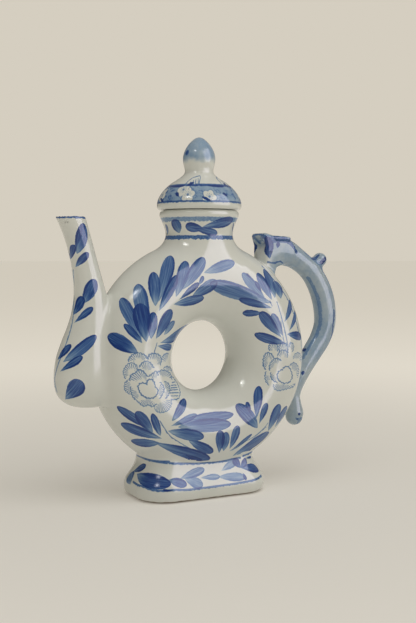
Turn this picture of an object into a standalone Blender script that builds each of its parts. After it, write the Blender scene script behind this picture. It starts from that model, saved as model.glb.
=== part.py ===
# Ring-shaped blue-and-white porcelain wine ewer, built the way a potter makes it:
# two moulded half rings luted edge to edge, a thrown neck collar, a moulded foot,
# a spout, a dragon handle, and a loose lid (dome + locating flange + egg finial).
# Metres, +Z up. Origin on the ground, midway between the tips of spout and handle.
# Spout towards -X, handle towards +X, painted front face towards -Y.
# The tables below give x from the axis of the neck and z from the level of the
# ring mould; AXIS_X and LIFT carry both into the part's own frame.
import bpy
import bmesh
import math
from mathutils import Vector

MM = 0.001
GAP = 0.3 * MM              # clay joint left between neighbouring pieces

# ---- driving dimensions (millimetres, converted where used) -----------------
AXIS_X = -3.684             # neck and lid axis, from the origin
LIFT = 1.2                  # the foot's rim reaches this far below the mould level
RING_R = 46.0               # radius of the ring's centre line
TUBE_R = 24.6               # outer radius of the hollow tube
RING_WALL = 3.6             # wall of the moulded half rings
RING_Z = 82.6               # height of the ring's centre
NECK_HOLE_R = 14.5          # opening in the top of the ring, under the neck
SPOUT_HOLE_R = 7.5          # opening from the ring into the spout
SPOUT_HOLE_Z = 74.0

NECK_TOP = 171.1            # rim that carries the lid
NECK_LIP_R = 24.1
NECK_WAIST_R = 20.2
NECK_WAIST_Z = 154.7
NECK_BORE_R = 16.6
NECK_SHOULDER_RX = 29.0     # spread of the shoulder along the ring
NECK_SHOULDER_RY = 20.9     # and across it

FOOT_X = -3.4               # the foot sits a little towards the spout
FOOT_WALL = 5.0

LID_SEAT = NECK_TOP + 0.3   # underside of the lid where it rests
LID_R = 25.7
FLANGE_R = 15.5
FLANGE_WALL = 2.6
FLANGE_BOTTOM = 163.5
DOME_TOP = 193.6
FINIAL_TOP = 215.6

# ---- clean start ------------------------------------------------------------
for ob in list(bpy.data.objects):
    bpy.data.objects.remove(ob, do_unlink=True)


def material(name, rgb, rough, metal=0.0):
    m = bpy.data.materials.new(name)
    m.use_nodes = True
    b = next(n for n in m.node_tree.nodes if n.type == 'BSDF_PRINCIPLED')
    b.inputs["Base Color"].default_value = (rgb[0], rgb[1], rgb[2], 1.0)
    b.inputs["Roughness"].default_value = rough
    b.inputs["Metallic"].default_value = metal
    return m


WHITE = (0.66, 0.68, 0.64)
BLUE = (0.22, 0.31, 0.44)


def make(name, verts, faces, rgb, rough=0.12):
    """Mesh object from millimetre points, faces made to point out."""
    me = bpy.data.meshes.new(name)
    me.from_pydata([((x + AXIS_X) * MM, y * MM, (z + LIFT) * MM) for x, y, z in verts], [], faces)
    bm = bmesh.new()
    bm.from_mesh(me)
    bmesh.ops.remove_doubles(bm, verts=bm.verts, dist=1e-6)
    bmesh.ops.recalc_face_normals(bm, faces=bm.faces)
    if bm.calc_volume(signed=True) < 0:
        bmesh.ops.reverse_faces(bm, faces=bm.faces)
    bm.to_mesh(me)
    bm.free()
    me.update()
    ob = bpy.data.objects.new(name, me)
    bpy.context.scene.collection.objects.link(ob)
    me.materials.append(material(name + "_glaze", rgb, rough))
    me.shade_smooth()
    me.set_sharp_from_angle(angle=math.radians(40))
    return ob


def grid(loops, wrap_rows, cap_first=False, cap_last=False):
    """Quads between equal loops of points; each loop is closed."""
    n = len(loops[0])
    verts = [p for lp in loops for p in lp]
    rows = len(loops)
    faces = []
    last = rows if wrap_rows else rows - 1
    for i in range(last):
        a, b = i * n, ((i + 1) % rows) * n
        for j in range(n):
            k = (j + 1) % n
            faces.append((a + j, a + k, b + k, b + j))
    if cap_first:
        faces.append(tuple(range(n)))
    if cap_last:
        faces.append(tuple((rows - 1) * n + j for j in range(n)))
    return verts, faces


def catmull(pts, per):
    """Points on a smooth curve through tuples of any length."""
    out = []
    n = len(pts)
    for i in range(n - 1):
        p0 = pts[max(i - 1, 0)]
        p1, p2 = pts[i], pts[i + 1]
        p3 = pts[min(i + 2, n - 1)]
        for k in range(per):
            t = k / per
            out.append(tuple(
                0.5 * (2 * b + (c - a) * t + (2 * a - 5 * b + 4 * c - d) * t * t
                       + (3 * b - a - 3 * c + d) * t ** 3)
                for a, b, c, d in zip(p0, p1, p2, p3)))
    out.append(tuple(pts[-1]))
    return out


def turned(name, profile, sides, rgb, rough=0.12):
    """Solid of revolution about Z from an (r, z) outline that starts and ends on the axis."""
    verts, faces = [], []
    n = sides
    idx = []
    for r, z in profile:
        if r < 1e-6:
            idx.append([len(verts)] * n)
            verts.append((0.0, 0.0, z))
        else:
            idx.append(list(range(len(verts), len(verts) + n)))
            verts += [(r * math.cos(2 * math.pi * j / n),
                       r * math.sin(2 * math.pi * j / n), z) for j in range(n)]
    for a, b in zip(idx, idx[1:]):
        for j in range(n):
            k = (j + 1) % n
            f = []
            for v in (a[j], a[k], b[k], b[j]):
                if v not in f:
                    f.append(v)
            if len(f) > 2:
                faces.append(tuple(f))
    return make(name, verts, faces, rgb, rough)


def turned_ring(name, profile, sides, rgb, rough=0.12):
    """Hollow ring about Z from a closed (r, z) outline that stays off the axis."""
    loops = [[(r * math.cos(2 * math.pi * j / sides),
               r * math.sin(2 * math.pi * j / sides), z) for j in range(sides)]
             for r, z in profile]
    v, f = grid(loops, True)
    return make(name, v, f, rgb, rough)


def cutter(ob):
    ob.hide_render = True
    ob.display_type = 'WIRE'
    return ob


def cut(ob, tool):
    m = ob.modifiers.new("cut_" + tool.name, 'BOOLEAN')
    m.operation = 'DIFFERENCE'
    m.solver = 'EXACT'
    m.object = tool


# ---- ring: two moulded half shells -----------------------------------------
def ring_half(name, side):
    n_out, n_in, n_turn = 11, 7, 64
    half_gap = 0.15
    loops = []
    r_in = TUBE_R - RING_WALL
    a0, b0 = math.asin(half_gap / TUBE_R), math.asin(half_gap / r_in)
    sect = []
    for i in range(n_out + 1):
        a = a0 + (math.pi - 2 * a0) * i / n_out
        sect.append((TUBE_R * math.cos(a), TUBE_R * math.sin(a)))
    for i in range(n_in + 1):
        a = math.pi - b0 - (math.pi - 2 * b0) * i / n_in
        sect.append((r_in * math.cos(a), r_in * math.sin(a)))
    for j in range(n_turn):
        t = 2 * math.pi * (j + 0.5) / n_turn
        loops.append([((RING_R + c) * math.cos(t), side * s,
                       RING_Z + (RING_R + c) * math.sin(t)) for c, s in sect])
    v, f = grid(loops, True)
    return make(name, v, f, WHITE)


def bar(name, start, end, radius, sides=32):
    """Plain round bar between two points, for cutting."""
    a, b = Vector(start), Vector(end)
    d = (b - a).normalized()
    u = d.orthogonal().normalized()
    w = d.cross(u)
    loops = []
    for p in (a, b):
        loops.append([tuple(p + radius * (math.cos(2 * math.pi * j / sides) * u
                                          + math.sin(2 * math.pi * j / sides) * w))
                      for j in range(sides)])
    v, f = grid(loops, False, True, True)
    return cutter(make(name, v, f, WHITE))


def ring_tool(name, tube_r, n_turn=64, n_tube=22):
    """Full torus a joint's gap larger than the ring, cuts what is luted onto it."""
    loops = []
    for j in range(n_turn):
        t = 2 * math.pi * (j + 0.5) / n_turn
        loops.append([((RING_R + tube_r * math.cos(2 * math.pi * i / n_tube)) * math.cos(t),
                       tube_r * math.sin(2 * math.pi * i / n_tube),
                       RING_Z + (RING_R + tube_r * math.cos(2 * math.pi * i / n_tube)) * math.sin(t))
                      for i in range(n_tube)])
    v, f = grid(loops, True)
    return cutter(make(name, v, f, WHITE))


front = ring_half("ring_body_front", -1.0)
back = ring_half("ring_body_back", 1.0)
neck_bar = bar("cut_neck_opening", (0, 0, RING_Z + RING_R + 4), (0, 0, RING_Z + RING_R + 40), NECK_HOLE_R)
spout_bar = bar("cut_spout_opening", (-RING_R - 4, 0, SPOUT_HOLE_Z), (-RING_R - 34, 0, SPOUT_HOLE_Z), SPOUT_HOLE_R, 24)
for shell in (front, back):
    cut(shell, neck_bar)
    cut(shell, spout_bar)

seat = ring_tool("cut_ring_seat", TUBE_R + 0.35)

# ---- neck collar ------------------------------------------------------------
# (radius, height) from the shoulder up to the lip, then down the bore
NECK_OUT = [(NECK_WAIST_R + 1.2, 151.2), (NECK_WAIST_R, NECK_WAIST_Z), (20.5, 157.5),
            (21.2, 160.5), (22.3, 163.5), (23.5, 166.2), (24.3, 167.6),
            (NECK_LIP_R, 169.0), (23.9, 170.5), (22.8, NECK_TOP)]
NECK_IN = [(20.0, NECK_TOP), (18.4, 169.6), (17.1, 167.0), (NECK_BORE_R, 163.0),
           (NECK_BORE_R, 150.0), (NECK_BORE_R, 134.0)]


def neck():
    sides = 48
    loops = []
    # shoulder: spreads along the ring, drops straight down across it
    for k, z in ((1.0, 134.0), (0.93, 143.5), (0.55, 147.2)):
        lp = []
        for j in range(sides):
            a = 2 * math.pi * j / sides
            rx = NECK_WAIST_R + (NECK_SHOULDER_RX - NECK_WAIST_R) * k
            ry = NECK_WAIST_R + (NECK_SHOULDER_RY - NECK_WAIST_R) * k
            lp.append((rx * math.cos(a), ry * math.sin(a), z))
        loops.append(lp)
    for i, (r, z) in enumerate(NECK_OUT + NECK_IN):
        lp = []
        for j in range(sides):
            a = 2 * math.pi * j / sides
            rx = r + (1.0 if i == 0 else 0.0)
            ry = r - (0.9 if i == 0 else 0.0)
            lp.append((rx * math.cos(a), ry * math.sin(a), z))
        loops.append(lp)
    v, f = grid(loops, True)
    return make("neck_collar", v, f, WHITE)


collar = neck()
cut(collar, seat)


# ---- foot: flared hoop with a rounded-rectangle plan -------------------------
def plan(half_x, half_y, corner, z, per=6):
    """Rounded rectangle around the foot's own centre."""
    corner = min(corner, half_x, half_y)
    pts = []
    for q, (sx, sy) in enumerate(((1, 1), (-1, 1), (-1, -1), (1, -1))):
        cx, cy = FOOT_X + sx * (half_x - corner), sy * (half_y - corner)
        for i in range(per + 1):
            a = math.pi / 2 * (q + i / per)
            pts.append((cx + corner * math.cos(a), cy + corner * math.sin(a), z))
    # straight sides get middle points so that the saddle cut follows the ring
    out = []
    m = len(pts)
    for i, p in enumerate(pts):
        out.append(p)
        n = pts[(i + 1) % m]
        if (i + 1) % (per + 1) == 0:
            steps = 6 if abs(p[0] - n[0]) > abs(p[1] - n[1]) else 2
            for s in range(1, steps):
                t = s / steps
                out.append((p[0] + (n[0] - p[0]) * t, p[1] + (n[1] - p[1]) * t, z))
    return out


# (half length, half width, corner radius, height)
FOOT_OUT = [(39.0, 22.4, 16.5, -LIFT), (41.3, 24.7, 17.5, 0.4), (42.4, 25.8, 18.0, 3.8),
            (42.2, 25.6, 18.0, 7.6), (40.6, 24.0, 17.2, 10.9), (38.4, 21.6, 16.0, 14.5),
            (36.6, 19.6, 15.0, 18.5), (35.8, 18.8, 14.5, 22.5), (35.6, 18.6, 14.5, 30.0)]


def foot():
    loops = [plan(lx, wy, c, z) for lx, wy, c, z in FOOT_OUT]
    inner = []
    for lx, wy, c, z in ((35.2 - FOOT_WALL, 18.2 - FOOT_WALL, 10.0, 30.0),
                         (35.4 - FOOT_WALL, 18.4 - FOOT_WALL, 10.0, 12.0),
                         (36.4 - FOOT_WALL, 19.4 - FOOT_WALL, 11.0, 4.0),
                         (37.2 - FOOT_WALL + 1.6, 20.2 - FOOT_WALL + 1.6, 12.0, -LIFT)):
        inner.append(plan(lx, wy, c, z))
    v, f = grid(loops + inner, True)
    return make("foot_ring", v, f, WHITE)


base = foot()
cut(base, seat)

# ---- spout: slender neck on a flattened pear-shaped bulb ---------------------
# (height, centre x, half width x, half width y)
SPOUT = [(55.7, -72.2, 5.0, 3.6), (57.4, -72.6, 11.4, 8.4), (60.6, -73.0, 15.9, 11.4),
         (64.6, -73.2, 18.4, 12.9), (70.0, -73.2, 19.6, 13.6), (77.0, -73.0, 19.8, 13.7),
         (85.0, -72.6, 18.9, 13.4), (93.0, -71.8, 16.9, 12.4), (101.0, -71.0, 14.3, 11.2),
         (109.0, -70.6, 11.9, 10.0), (117.6, -70.7, 10.2, 9.1), (127.0, -71.9, 8.8, 8.4),
         (137.0, -73.9, 7.9, 7.8), (146.0, -76.1, 7.6, 7.6), (154.0, -78.4, 7.7, 7.7),
         (160.5, -80.6, 8.0, 8.0), (166.0, -82.8, 8.4, 8.4)]
SPOUT_WALL = 2.3


def oval(cx, rx, ry, z, sides):
    return [(cx + rx * math.cos(2 * math.pi * j / sides),
             ry * math.sin(2 * math.pi * j / sides), z) for j in range(sides)]


def spout():
    sides = 28
    outer = [oval(x, a, b, z, sides) for z, x, a, b in SPOUT]
    inner = []
    for z, x, a, b in reversed(SPOUT):
        if z < 60:
            continue
        w = SPOUT_WALL
        zz = z
        if z > 165:
            w = 1.6
        if z < 62:
            a, b = 13.0, 8.6
        inner.append(oval(x, a - w, b - w, zz, sides))
    v, f = grid(outer + inner, False, True, True)
    return make("spout", v, f, WHITE)


pour = spout()
cut(pour, seat)

# ---- dragon handle -----------------------------------------------------------
# centre line (x, z), half thickness in the plane and across it
HANDLE = [(46.0, 128.5, 6.2, 6.2), (47.0, 136.5, 6.4, 6.2), (49.5, 143.5, 7.6, 7.0),
          (55.5, 147.2, 8.8, 7.8), (63.0, 145.8, 8.6, 7.4), (70.0, 142.4, 7.3, 6.8),
          (77.5, 137.0, 6.8, 6.5), (84.0, 130.0, 7.2, 6.7), (89.5, 120.5, 7.4, 6.9),
          (92.4, 110.0, 7.4, 7.0), (92.6, 99.0, 7.1, 6.8), (89.0, 89.5, 6.9, 6.4),
          (82.8, 80.8, 6.6, 6.0), (76.4, 71.6, 6.0, 5.6), (70.8, 61.5, 5.0, 5.2),
          (68.6, 53.5, 4.3, 4.6), (69.0, 47.6, 4.9, 5.2), (69.3, 42.4, 5.9, 6.0),
          (69.2, 38.2, 4.9, 5.0), (69.1, 35.7, 2.4, 2.4)]


def handle():
    pts = catmull(HANDLE, 2)
    sides = 16
    loops = []
    m = len(pts)
    for i, (x, z, a, b) in enumerate(pts):
        x0, z0 = pts[max(i - 1, 0)][:2]
        x1, z1 = pts[min(i + 1, m - 1)][:2]
        d = math.hypot(x1 - x0, z1 - z0)
        tx, tz = (x1 - x0) / d, (z1 - z0) / d
        nx, nz = -tz, tx
        loops.append([(x + a * math.cos(2 * math.pi * j / sides) * nx,
                       b * math.sin(2 * math.pi * j / sides),
                       z + a * math.cos(2 * math.pi * j / sides) * nz)
                      for j in range(sides)])
    v, f = grid(loops, False, True, True)
    return make("dragon_handle", v, f, BLUE)


def prism(name, outline, half_y, tip_y=None):
    """Block from an (x, z) outline, used to build the dragon's snout and curl."""
    n = len(outline)
    verts = [(x, -half_y, z) for x, z in outline] + [(x, half_y, z) for x, z in outline]
    faces = [tuple(range(n)), tuple(range(n, 2 * n))]
    for i in range(n):
        k = (i + 1) % n
        faces.append((i, k, n + k, n + i))
    return make(name, verts, faces, BLUE)


def ball(name, x, z, r, sides=12, rings=8):
    verts, faces, idx = [], [], []
    for i in range(rings + 1):
        p = math.pi * i / rings
        if i in (0, rings):
            idx.append([len(verts)] * sides)
            verts.append((x, 0.0, z + r * math.cos(p)))
        else:
            idx.append(list(range(len(verts), len(verts) + sides)))
            verts += [(x + r * math.sin(p) * math.cos(2 * math.pi * j / sides),
                       r * math.sin(p) * math.sin(2 * math.pi * j / sides),
                       z + r * math.cos(p)) for j in range(sides)]
    for a, b in zip(idx, idx[1:]):
        for j in range(sides):
            k = (j + 1) % sides
            f = []
            for v in (a[j], a[k], b[k], b[j]):
                if v not in f:
                    f.append(v)
            if len(f) > 2:
                faces.append(tuple(f))
    return make(name, verts, faces, BLUE)


def join(ob, tool):
    m = ob.modifiers.new("join_" + tool.name, 'BOOLEAN')
    m.operation = 'UNION'
    m.solver = 'EXACT'
    m.object = tool


grip = handle()
snout = cutter(prism("add_snout", [(42.4, 136.0), (42.6, 150.5), (41.2, 156.6), (43.6, 158.2),
                                   (48.2, 156.2), (58.0, 155.6), (63.0, 152.6), (62.0, 143.0),
                                   (55.5, 138.2), (51.0, 134.5)], 8.6))
curl = cutter(ball("add_curl", 87.6, 140.6, 4.4))
join(grip, snout)
join(grip, curl)
cut(grip, seat)

# ---- lid: dome, locating flange, egg finial ----------------------------------
turned("lid_dome", [(0.0, 188.6), (5.5, 188.2), (9.5, 185.6), (11.8, 181.0), (12.6, 176.0),
                    (12.9, LID_SEAT), (24.2, LID_SEAT), (25.3, LID_SEAT + 1.0),
                    (LID_R, LID_SEAT + 2.9), (25.5, LID_SEAT + 5.2), (24.6, 179.2),
                    (23.2, 182.0), (21.2, 185.0), (18.3, 188.0), (14.6, 190.6),
                    (10.8, 192.6), (8.8, DOME_TOP), (0.0, DOME_TOP)], 48, WHITE)
turned_ring("lid_flange", [(FLANGE_R, LID_SEAT - 0.3), (FLANGE_R, FLANGE_BOTTOM + 1.2),
                           (FLANGE_R - 0.9, FLANGE_BOTTOM), (FLANGE_R - FLANGE_WALL, FLANGE_BOTTOM),
                           (FLANGE_R - FLANGE_WALL, LID_SEAT - 0.3)], 40, WHITE)
turned("lid_finial", [(0.0, DOME_TOP + 0.3), (8.6, DOME_TOP + 0.3), (8.0, 195.2), (8.0, 197.0),
                      (8.7, 199.4), (9.5, 201.6), (9.8, 203.4), (9.6, 206.0), (8.6, 209.2),
                      (6.7, 212.2), (3.9, 214.6), (0.0, FINIAL_TOP)], 32, BLUE)
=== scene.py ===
# Looks of the ring-shaped porcelain ewer: one continuous glazed skin, cut into the
# potter's pieces, with brush painting held as per-corner stroke coordinates.
import math
import bpy
import numpy as np
from mathutils import Vector, Matrix

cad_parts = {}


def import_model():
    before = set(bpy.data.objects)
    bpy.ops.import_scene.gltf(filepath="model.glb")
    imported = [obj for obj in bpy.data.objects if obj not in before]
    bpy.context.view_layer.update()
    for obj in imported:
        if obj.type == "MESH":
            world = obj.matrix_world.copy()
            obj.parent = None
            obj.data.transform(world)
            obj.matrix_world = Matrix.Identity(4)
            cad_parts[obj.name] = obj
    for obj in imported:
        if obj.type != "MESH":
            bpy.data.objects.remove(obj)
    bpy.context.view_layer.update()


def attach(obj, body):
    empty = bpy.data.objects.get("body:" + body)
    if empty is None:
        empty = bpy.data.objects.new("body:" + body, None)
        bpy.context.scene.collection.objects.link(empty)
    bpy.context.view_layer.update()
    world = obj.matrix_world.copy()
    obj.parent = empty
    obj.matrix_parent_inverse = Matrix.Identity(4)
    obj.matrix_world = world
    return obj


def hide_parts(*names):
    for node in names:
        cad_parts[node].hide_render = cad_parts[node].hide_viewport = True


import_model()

MM = 0.001
AXIS_X = -3.684        # neck axis from the origin, mm
LIFT = 1.2             # mould level above the ground, mm
RING_R, TUBE_R, RING_Z, WALL = 46.0, 24.6, 82.6, 3.6
FOOT_X = -3.4
rng = np.random.RandomState(7)


def world(P):
    P = np.asarray(P, float)
    return np.stack([(P[..., 0] + AXIS_X) * MM, P[..., 1] * MM, (P[..., 2] + LIFT) * MM], -1)


# ---------------------------------------------------------------- shape maths
def catmull(pts, per):
    pts = [tuple(p) for p in pts]
    out, n = [], len(pts)
    for i in range(n - 1):
        p0, p1, p2, p3 = pts[max(i - 1, 0)], pts[i], pts[i + 1], pts[min(i + 2, n - 1)]
        for k in range(per):
            t = k / per
            out.append([0.5 * (2 * b + (c - a) * t + (2 * a - 5 * b + 4 * c - d) * t * t
                               + (3 * b - a - 3 * c + d) * t ** 3)
                        for a, b, c, d in zip(p0, p1, p2, p3)])
    out.append(list(pts[-1]))
    return np.array(out)


def smin(a, b, k):
    h = np.clip(0.5 + 0.5 * (b - a) / k, 0, 1)
    return b + (a - b) * h - k * h * (1 - h)


def smax(a, b, k):
    return -smin(-a, -b, k)


def poly_sdf(q, poly):
    d = np.full(len(q), 1e18)
    s = np.ones(len(q))
    m = len(poly)
    for i in range(m):
        a, b = poly[i], poly[(i + 1) % m]
        e = b - a
        w = q - a
        t = np.clip((w @ e) / (e @ e), 0, 1)
        r = w - t[:, None] * e
        d = np.minimum(d, (r * r).sum(1))
        c1 = q[:, 1] >= a[1]
        c2 = q[:, 1] < b[1]
        c3 = e[0] * w[:, 1] > e[1] * w[:, 0]
        flip = (c1 & c2 & c3) | (~c1 & ~c2 & ~c3)
        s[flip] *= -1
    return s * np.sqrt(d)


def torus(P, tr):
    rho = np.hypot(P[:, 0], P[:, 2] - RING_Z)
    return np.hypot(rho - RING_R, P[:, 1]) - tr


NECK_OUT = [(20.9, 126.0), (20.7, 140.0), (20.35, 149.0), (20.2, 154.7), (20.5, 157.5), (21.2, 160.5),
            (22.3, 163.5), (23.4, 166.0), (24.0, 167.5), (24.15, 168.9), (23.7, 170.2),
            (22.8, 170.95), (21.6, 171.1)]
NECK_IN = [(20.4, 170.7), (18.9, 169.3), (17.5, 167.0), (16.7, 163.0), (16.6, 150.0), (16.6, 126.0)]
NECK_POLY = np.vstack([catmull(NECK_OUT, 4), catmull(NECK_IN, 4)])


def neck(P):
    q = np.stack([np.hypot(P[:, 0], P[:, 1]), P[:, 2]], -1)
    return poly_sdf(q, NECK_POLY)


def table(rows, per=6):
    return catmull(rows, per)


FOOT = table([(-1.2, 39.2, 22.6, 16.5), (-0.4, 40.7, 24.1, 17.2), (1.2, 41.9, 25.3, 17.8),
              (3.8, 42.4, 25.8, 18.0), (6.6, 42.2, 25.6, 18.0), (8.8, 41.5, 24.9, 17.7),
              (10.9, 40.4, 23.8, 17.2), (14.5, 38.3, 21.5, 16.0), (18.5, 36.7, 19.7, 15.0),
              (22.5, 35.9, 18.9, 14.6), (30.0, 35.6, 18.6, 14.5)], 6)


def foot_plan(P, lx, wy, c):
    qx = np.abs(P[:, 0] - FOOT_X) - (lx - c)
    qy = np.abs(P[:, 1]) - (wy - c)
    return np.hypot(np.maximum(qx, 0), np.maximum(qy, 0)) + np.minimum(np.maximum(qx, qy), 0) - c


def foot(P):
    z = np.clip(P[:, 2], -1.2, 30)
    lx, wy, c = [np.interp(z, FOOT[:, 0], FOOT[:, i]) for i in (1, 2, 3)]
    slope = np.interp(z, FOOT[:, 0], np.gradient(FOOT[:, 1], FOOT[:, 0]))
    d = foot_plan(P, lx, wy, c) / np.sqrt(1 + np.minimum(slope * slope, 3.0))
    d = smax(d, -1.2 - P[:, 2], 0.5)
    d = np.maximum(d, P[:, 2] - 30)
    w = np.interp(z, [-1.2, 4.0, 12.0, 30.0], [4.2, 5.4, 5.4, 5.4])
    rec = foot_plan(P, lx - w, wy - w, np.maximum(c - w, 4.0))
    return smax(d, -rec, 0.8)


SPOUT = [(55.5, -71.4, 0.0, 0.0), (55.8, -71.8, 6.2, 4.4), (57.4, -72.6, 11.6, 8.5),
         (60.6, -73.0, 15.9, 11.3), (64.6, -73.2, 18.4, 12.8), (70.0, -73.2, 19.6, 13.6),
         (77.0, -73.0, 19.8, 13.7), (85.0, -72.6, 18.9, 13.4), (93.0, -71.8, 16.9, 12.4),
         (101.0, -71.0, 14.3, 11.2), (109.0, -70.6, 11.9, 10.0), (117.6, -70.7, 10.2, 9.1),
         (127.0, -71.9, 8.8, 8.4), (137.0, -73.9, 7.9, 7.8), (146.0, -76.1, 7.6, 7.6),
         (154.0, -78.4, 7.7, 7.7), (160.5, -80.6, 8.0, 8.0), (166.0, -82.8, 8.5, 8.4),
         (170.0, -84.4, 8.9, 8.7)]
SP = catmull([(z, x, a * a, b * b) for z, x, a, b in SPOUT], 6)


def spout_raw(P, inset):
    z = np.clip(P[:, 2], 55.5, 170)
    cx = np.interp(z, SP[:, 0], SP[:, 1])
    rx = np.sqrt(np.maximum(np.interp(z, SP[:, 0], SP[:, 2]), 1e-4)) - inset
    ry = np.sqrt(np.maximum(np.interp(z, SP[:, 0], SP[:, 3]), 1e-4)) - inset
    rx, ry = np.maximum(rx, 0.2), np.maximum(ry, 0.2)
    dx, dy = P[:, 0] - cx, P[:, 1]
    k = np.sqrt((dx / rx) ** 2 + (dy / ry) ** 2) + 1e-9
    g = np.sqrt((dx / rx ** 2) ** 2 + (dy / ry ** 2) ** 2) / k + 1e-9
    d = (k - 1) / np.maximum(g, 1e-3)
    d = np.where(k < 0.3, -np.minimum(rx, ry) * 0.7, d)
    zs = SP[:, 0]
    slope = np.interp(z, zs, np.gradient(np.sqrt(np.maximum(SP[:, 2], 1e-4)), zs))
    return d / np.sqrt(1 + np.minimum(slope * slope, 6.0))


def spout(P):
    d = spout_raw(P, 0.0)
    d = np.maximum(d, 55.5 - P[:, 2])
    return smax(d, P[:, 2] - 166.0, 0.9)


def spout_channel(P):
    d = spout_raw(P, 0.0) + np.interp(P[:, 2], [60, 150, 166], [2.6, 2.2, 1.5])
    return np.maximum(d, 59.5 - P[:, 2])


HANDLE = [(45.0, 128.5, 6.0, 6.0), (46.5, 136.5, 6.0, 6.2), (49.8, 143.5, 7.4, 7.0),
          (55.5, 146.8, 8.4, 7.6), (63.0, 145.4, 8.4, 7.3), (70.0, 142.0, 7.2, 6.8),
          (77.5, 136.8, 6.8, 6.5), (84.0, 130.0, 7.1, 6.7), (89.3, 120.5, 7.4, 6.9),
          (92.3, 110.0, 7.4, 7.0), (92.5, 99.0, 7.1, 6.8), (89.0, 89.5, 6.9, 6.4),
          (82.9, 80.8, 6.5, 6.0), (76.5, 71.6, 5.9, 5.6), (71.0, 61.5, 4.9, 5.0),
          (68.7, 53.5, 4.2, 4.5), (69.0, 47.6, 4.8, 5.1), (69.3, 42.4, 5.9, 6.0),
          (69.2, 39.6, 5.5, 5.6)]
HC = catmull(HANDLE, 8)
HEAD = np.array([(43.2, 131.0), (42.8, 140.0), (43.2, 150.0), (41.4, 156.2), (42.6, 158.0),
                 (45.4, 157.4), (49.5, 156.2), (58.0, 155.8), (63.2, 153.0), (66.0, 149.5),
                 (64.0, 142.5), (58.0, 138.6), (52.0, 136.6), (50.5, 131.0)], float)


def tube_near(P):
    """Nearest place on the handle's centre line: in-plane distance, arc index, and which side of the line the point
    lies.
    """
    q = P[:, [0, 2]]
    best = np.full(len(P), 1e18)
    tt = np.zeros(len(P))
    side = np.zeros(len(P))
    for i in range(len(HC) - 1):
        a, b = HC[i, :2], HC[i + 1, :2]
        e = b - a
        w = q - a
        t = np.clip((w @ e) / (e @ e), 0, 1)
        r = w - t[:, None] * e
        d = (r * r).sum(1)
        m = d < best
        best[m] = d[m]
        tt[m] = i + t[m]
        side[m] = np.sign(e[0] * r[m, 1] - e[1] * r[m, 0])
    return np.sqrt(best), tt, side


def handle(P):
    dn, tt, _ = tube_near(P)
    idx = np.arange(len(HC))
    a = np.interp(tt, idx, HC[:, 2])
    b = np.interp(tt, idx, HC[:, 3])
    k = np.sqrt((dn / a) ** 2 + (P[:, 1] / b) ** 2)
    d = (k - 1) * 0.5 * (a + b)
    # head: block with rounded edges, hollow mouth under a turned-up lip
    q = P[:, [0, 2]]
    hy = np.interp(P[:, 0], [41, 47, 56, 66], [8.9, 8.4, 8.3, 6.8]) \
        - np.interp(P[:, 2], [131, 140, 147], [2.2, 0.9, 0.0])
    r = 1.9
    dp = poly_sdf(q, HEAD) + r
    dy = np.abs(P[:, 1]) - hy + r
    head = np.hypot(np.maximum(dp, 0), np.maximum(dy, 0)) + np.minimum(np.maximum(dp, dy), 0) - r
    mouth = np.sqrt(((P[:, 0] - 40.6) / 5.2) ** 2 + (P[:, 1] / 6.4) ** 2 + ((P[:, 2] - 150.2) / 5.2) ** 2)
    head = smax(head, (1 - mouth) * 5.0, 1.2)
    # brow ridge over the eye on both sides
    brow = np.hypot(np.hypot(P[:, 0] - np.clip(P[:, 0], 50, 60), P[:, 2] - (155.0 - 0.05 * (P[:, 0] - 50))),
                    np.abs(P[:, 1]) - 7.4) - 1.15
    head = smin(head, brow, 1.4)
    # curl on the outside of the bend
    c = np.array([88.4, 0.0, 141.2])
    a0 = np.array([82.5, 0.0, 136.5])
    e = c - a0
    w = P - a0
    t = np.clip(w @ e / (e @ e), 0, 1)
    curl = np.sqrt(((w - t[:, None] * e) ** 2).sum(1)) - (3.5 + 1.0 * t)
    d = smin(d, head, 2.6)
    return smin(d, curl, 4.0)


def boxed(fn, P, lo, hi, far=6.0):
    """Evaluate a piece only near its own box."""
    lo, hi = np.array(lo, float), np.array(hi, float)
    d = np.linalg.norm(P - np.clip(P, lo, hi), axis=1) + far
    m = d < far + 3.0
    if m.any():
        d[m] = fn(P[m])
    return d


BOX = {"foot": ((-47, -27, -3), (40, 27, 31)), "neck": ((-25, -25, 125), (25, 25, 173)),
       "spout": ((-95, -15, 53), (-50, 15, 168)), "handle": ((38, -12, 32), (103, 12, 161))}


def vessel(P):
    ring = torus(P, TUBE_R)
    d = smin(ring, boxed(foot, P, *BOX["foot"]), 2.4)
    d = smin(d, boxed(neck, P, *BOX["neck"]), 9.0)
    d = smin(d, boxed(spout, P, *BOX["spout"]), 4.0)
    d = smin(d, boxed(handle, P, *BOX["handle"]), 2.4)
    # hollows: ring cavity, neck bore, spout channel
    cav = torus(P, TUBE_R - WALL)
    rho = np.hypot(P[:, 0], P[:, 1])
    bore = np.maximum(rho - 16.6, 128 - P[:, 2])
    cav = smin(cav, bore, 2.0)
    cav = np.minimum(cav, boxed(spout_channel, P, *BOX["spout"]))
    # keep the flared mouth of the neck open above the bore
    mouth = np.maximum(rho - np.interp(P[:, 2], [160, 163, 167, 169.3, 170.7, 174],
                                       [16.6, 16.7, 17.5, 18.9, 20.4, 23.8]), 160 - P[:, 2])
    cav = np.minimum(cav, mouth)
    return smax(d, -cav, 0.9)


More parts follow.
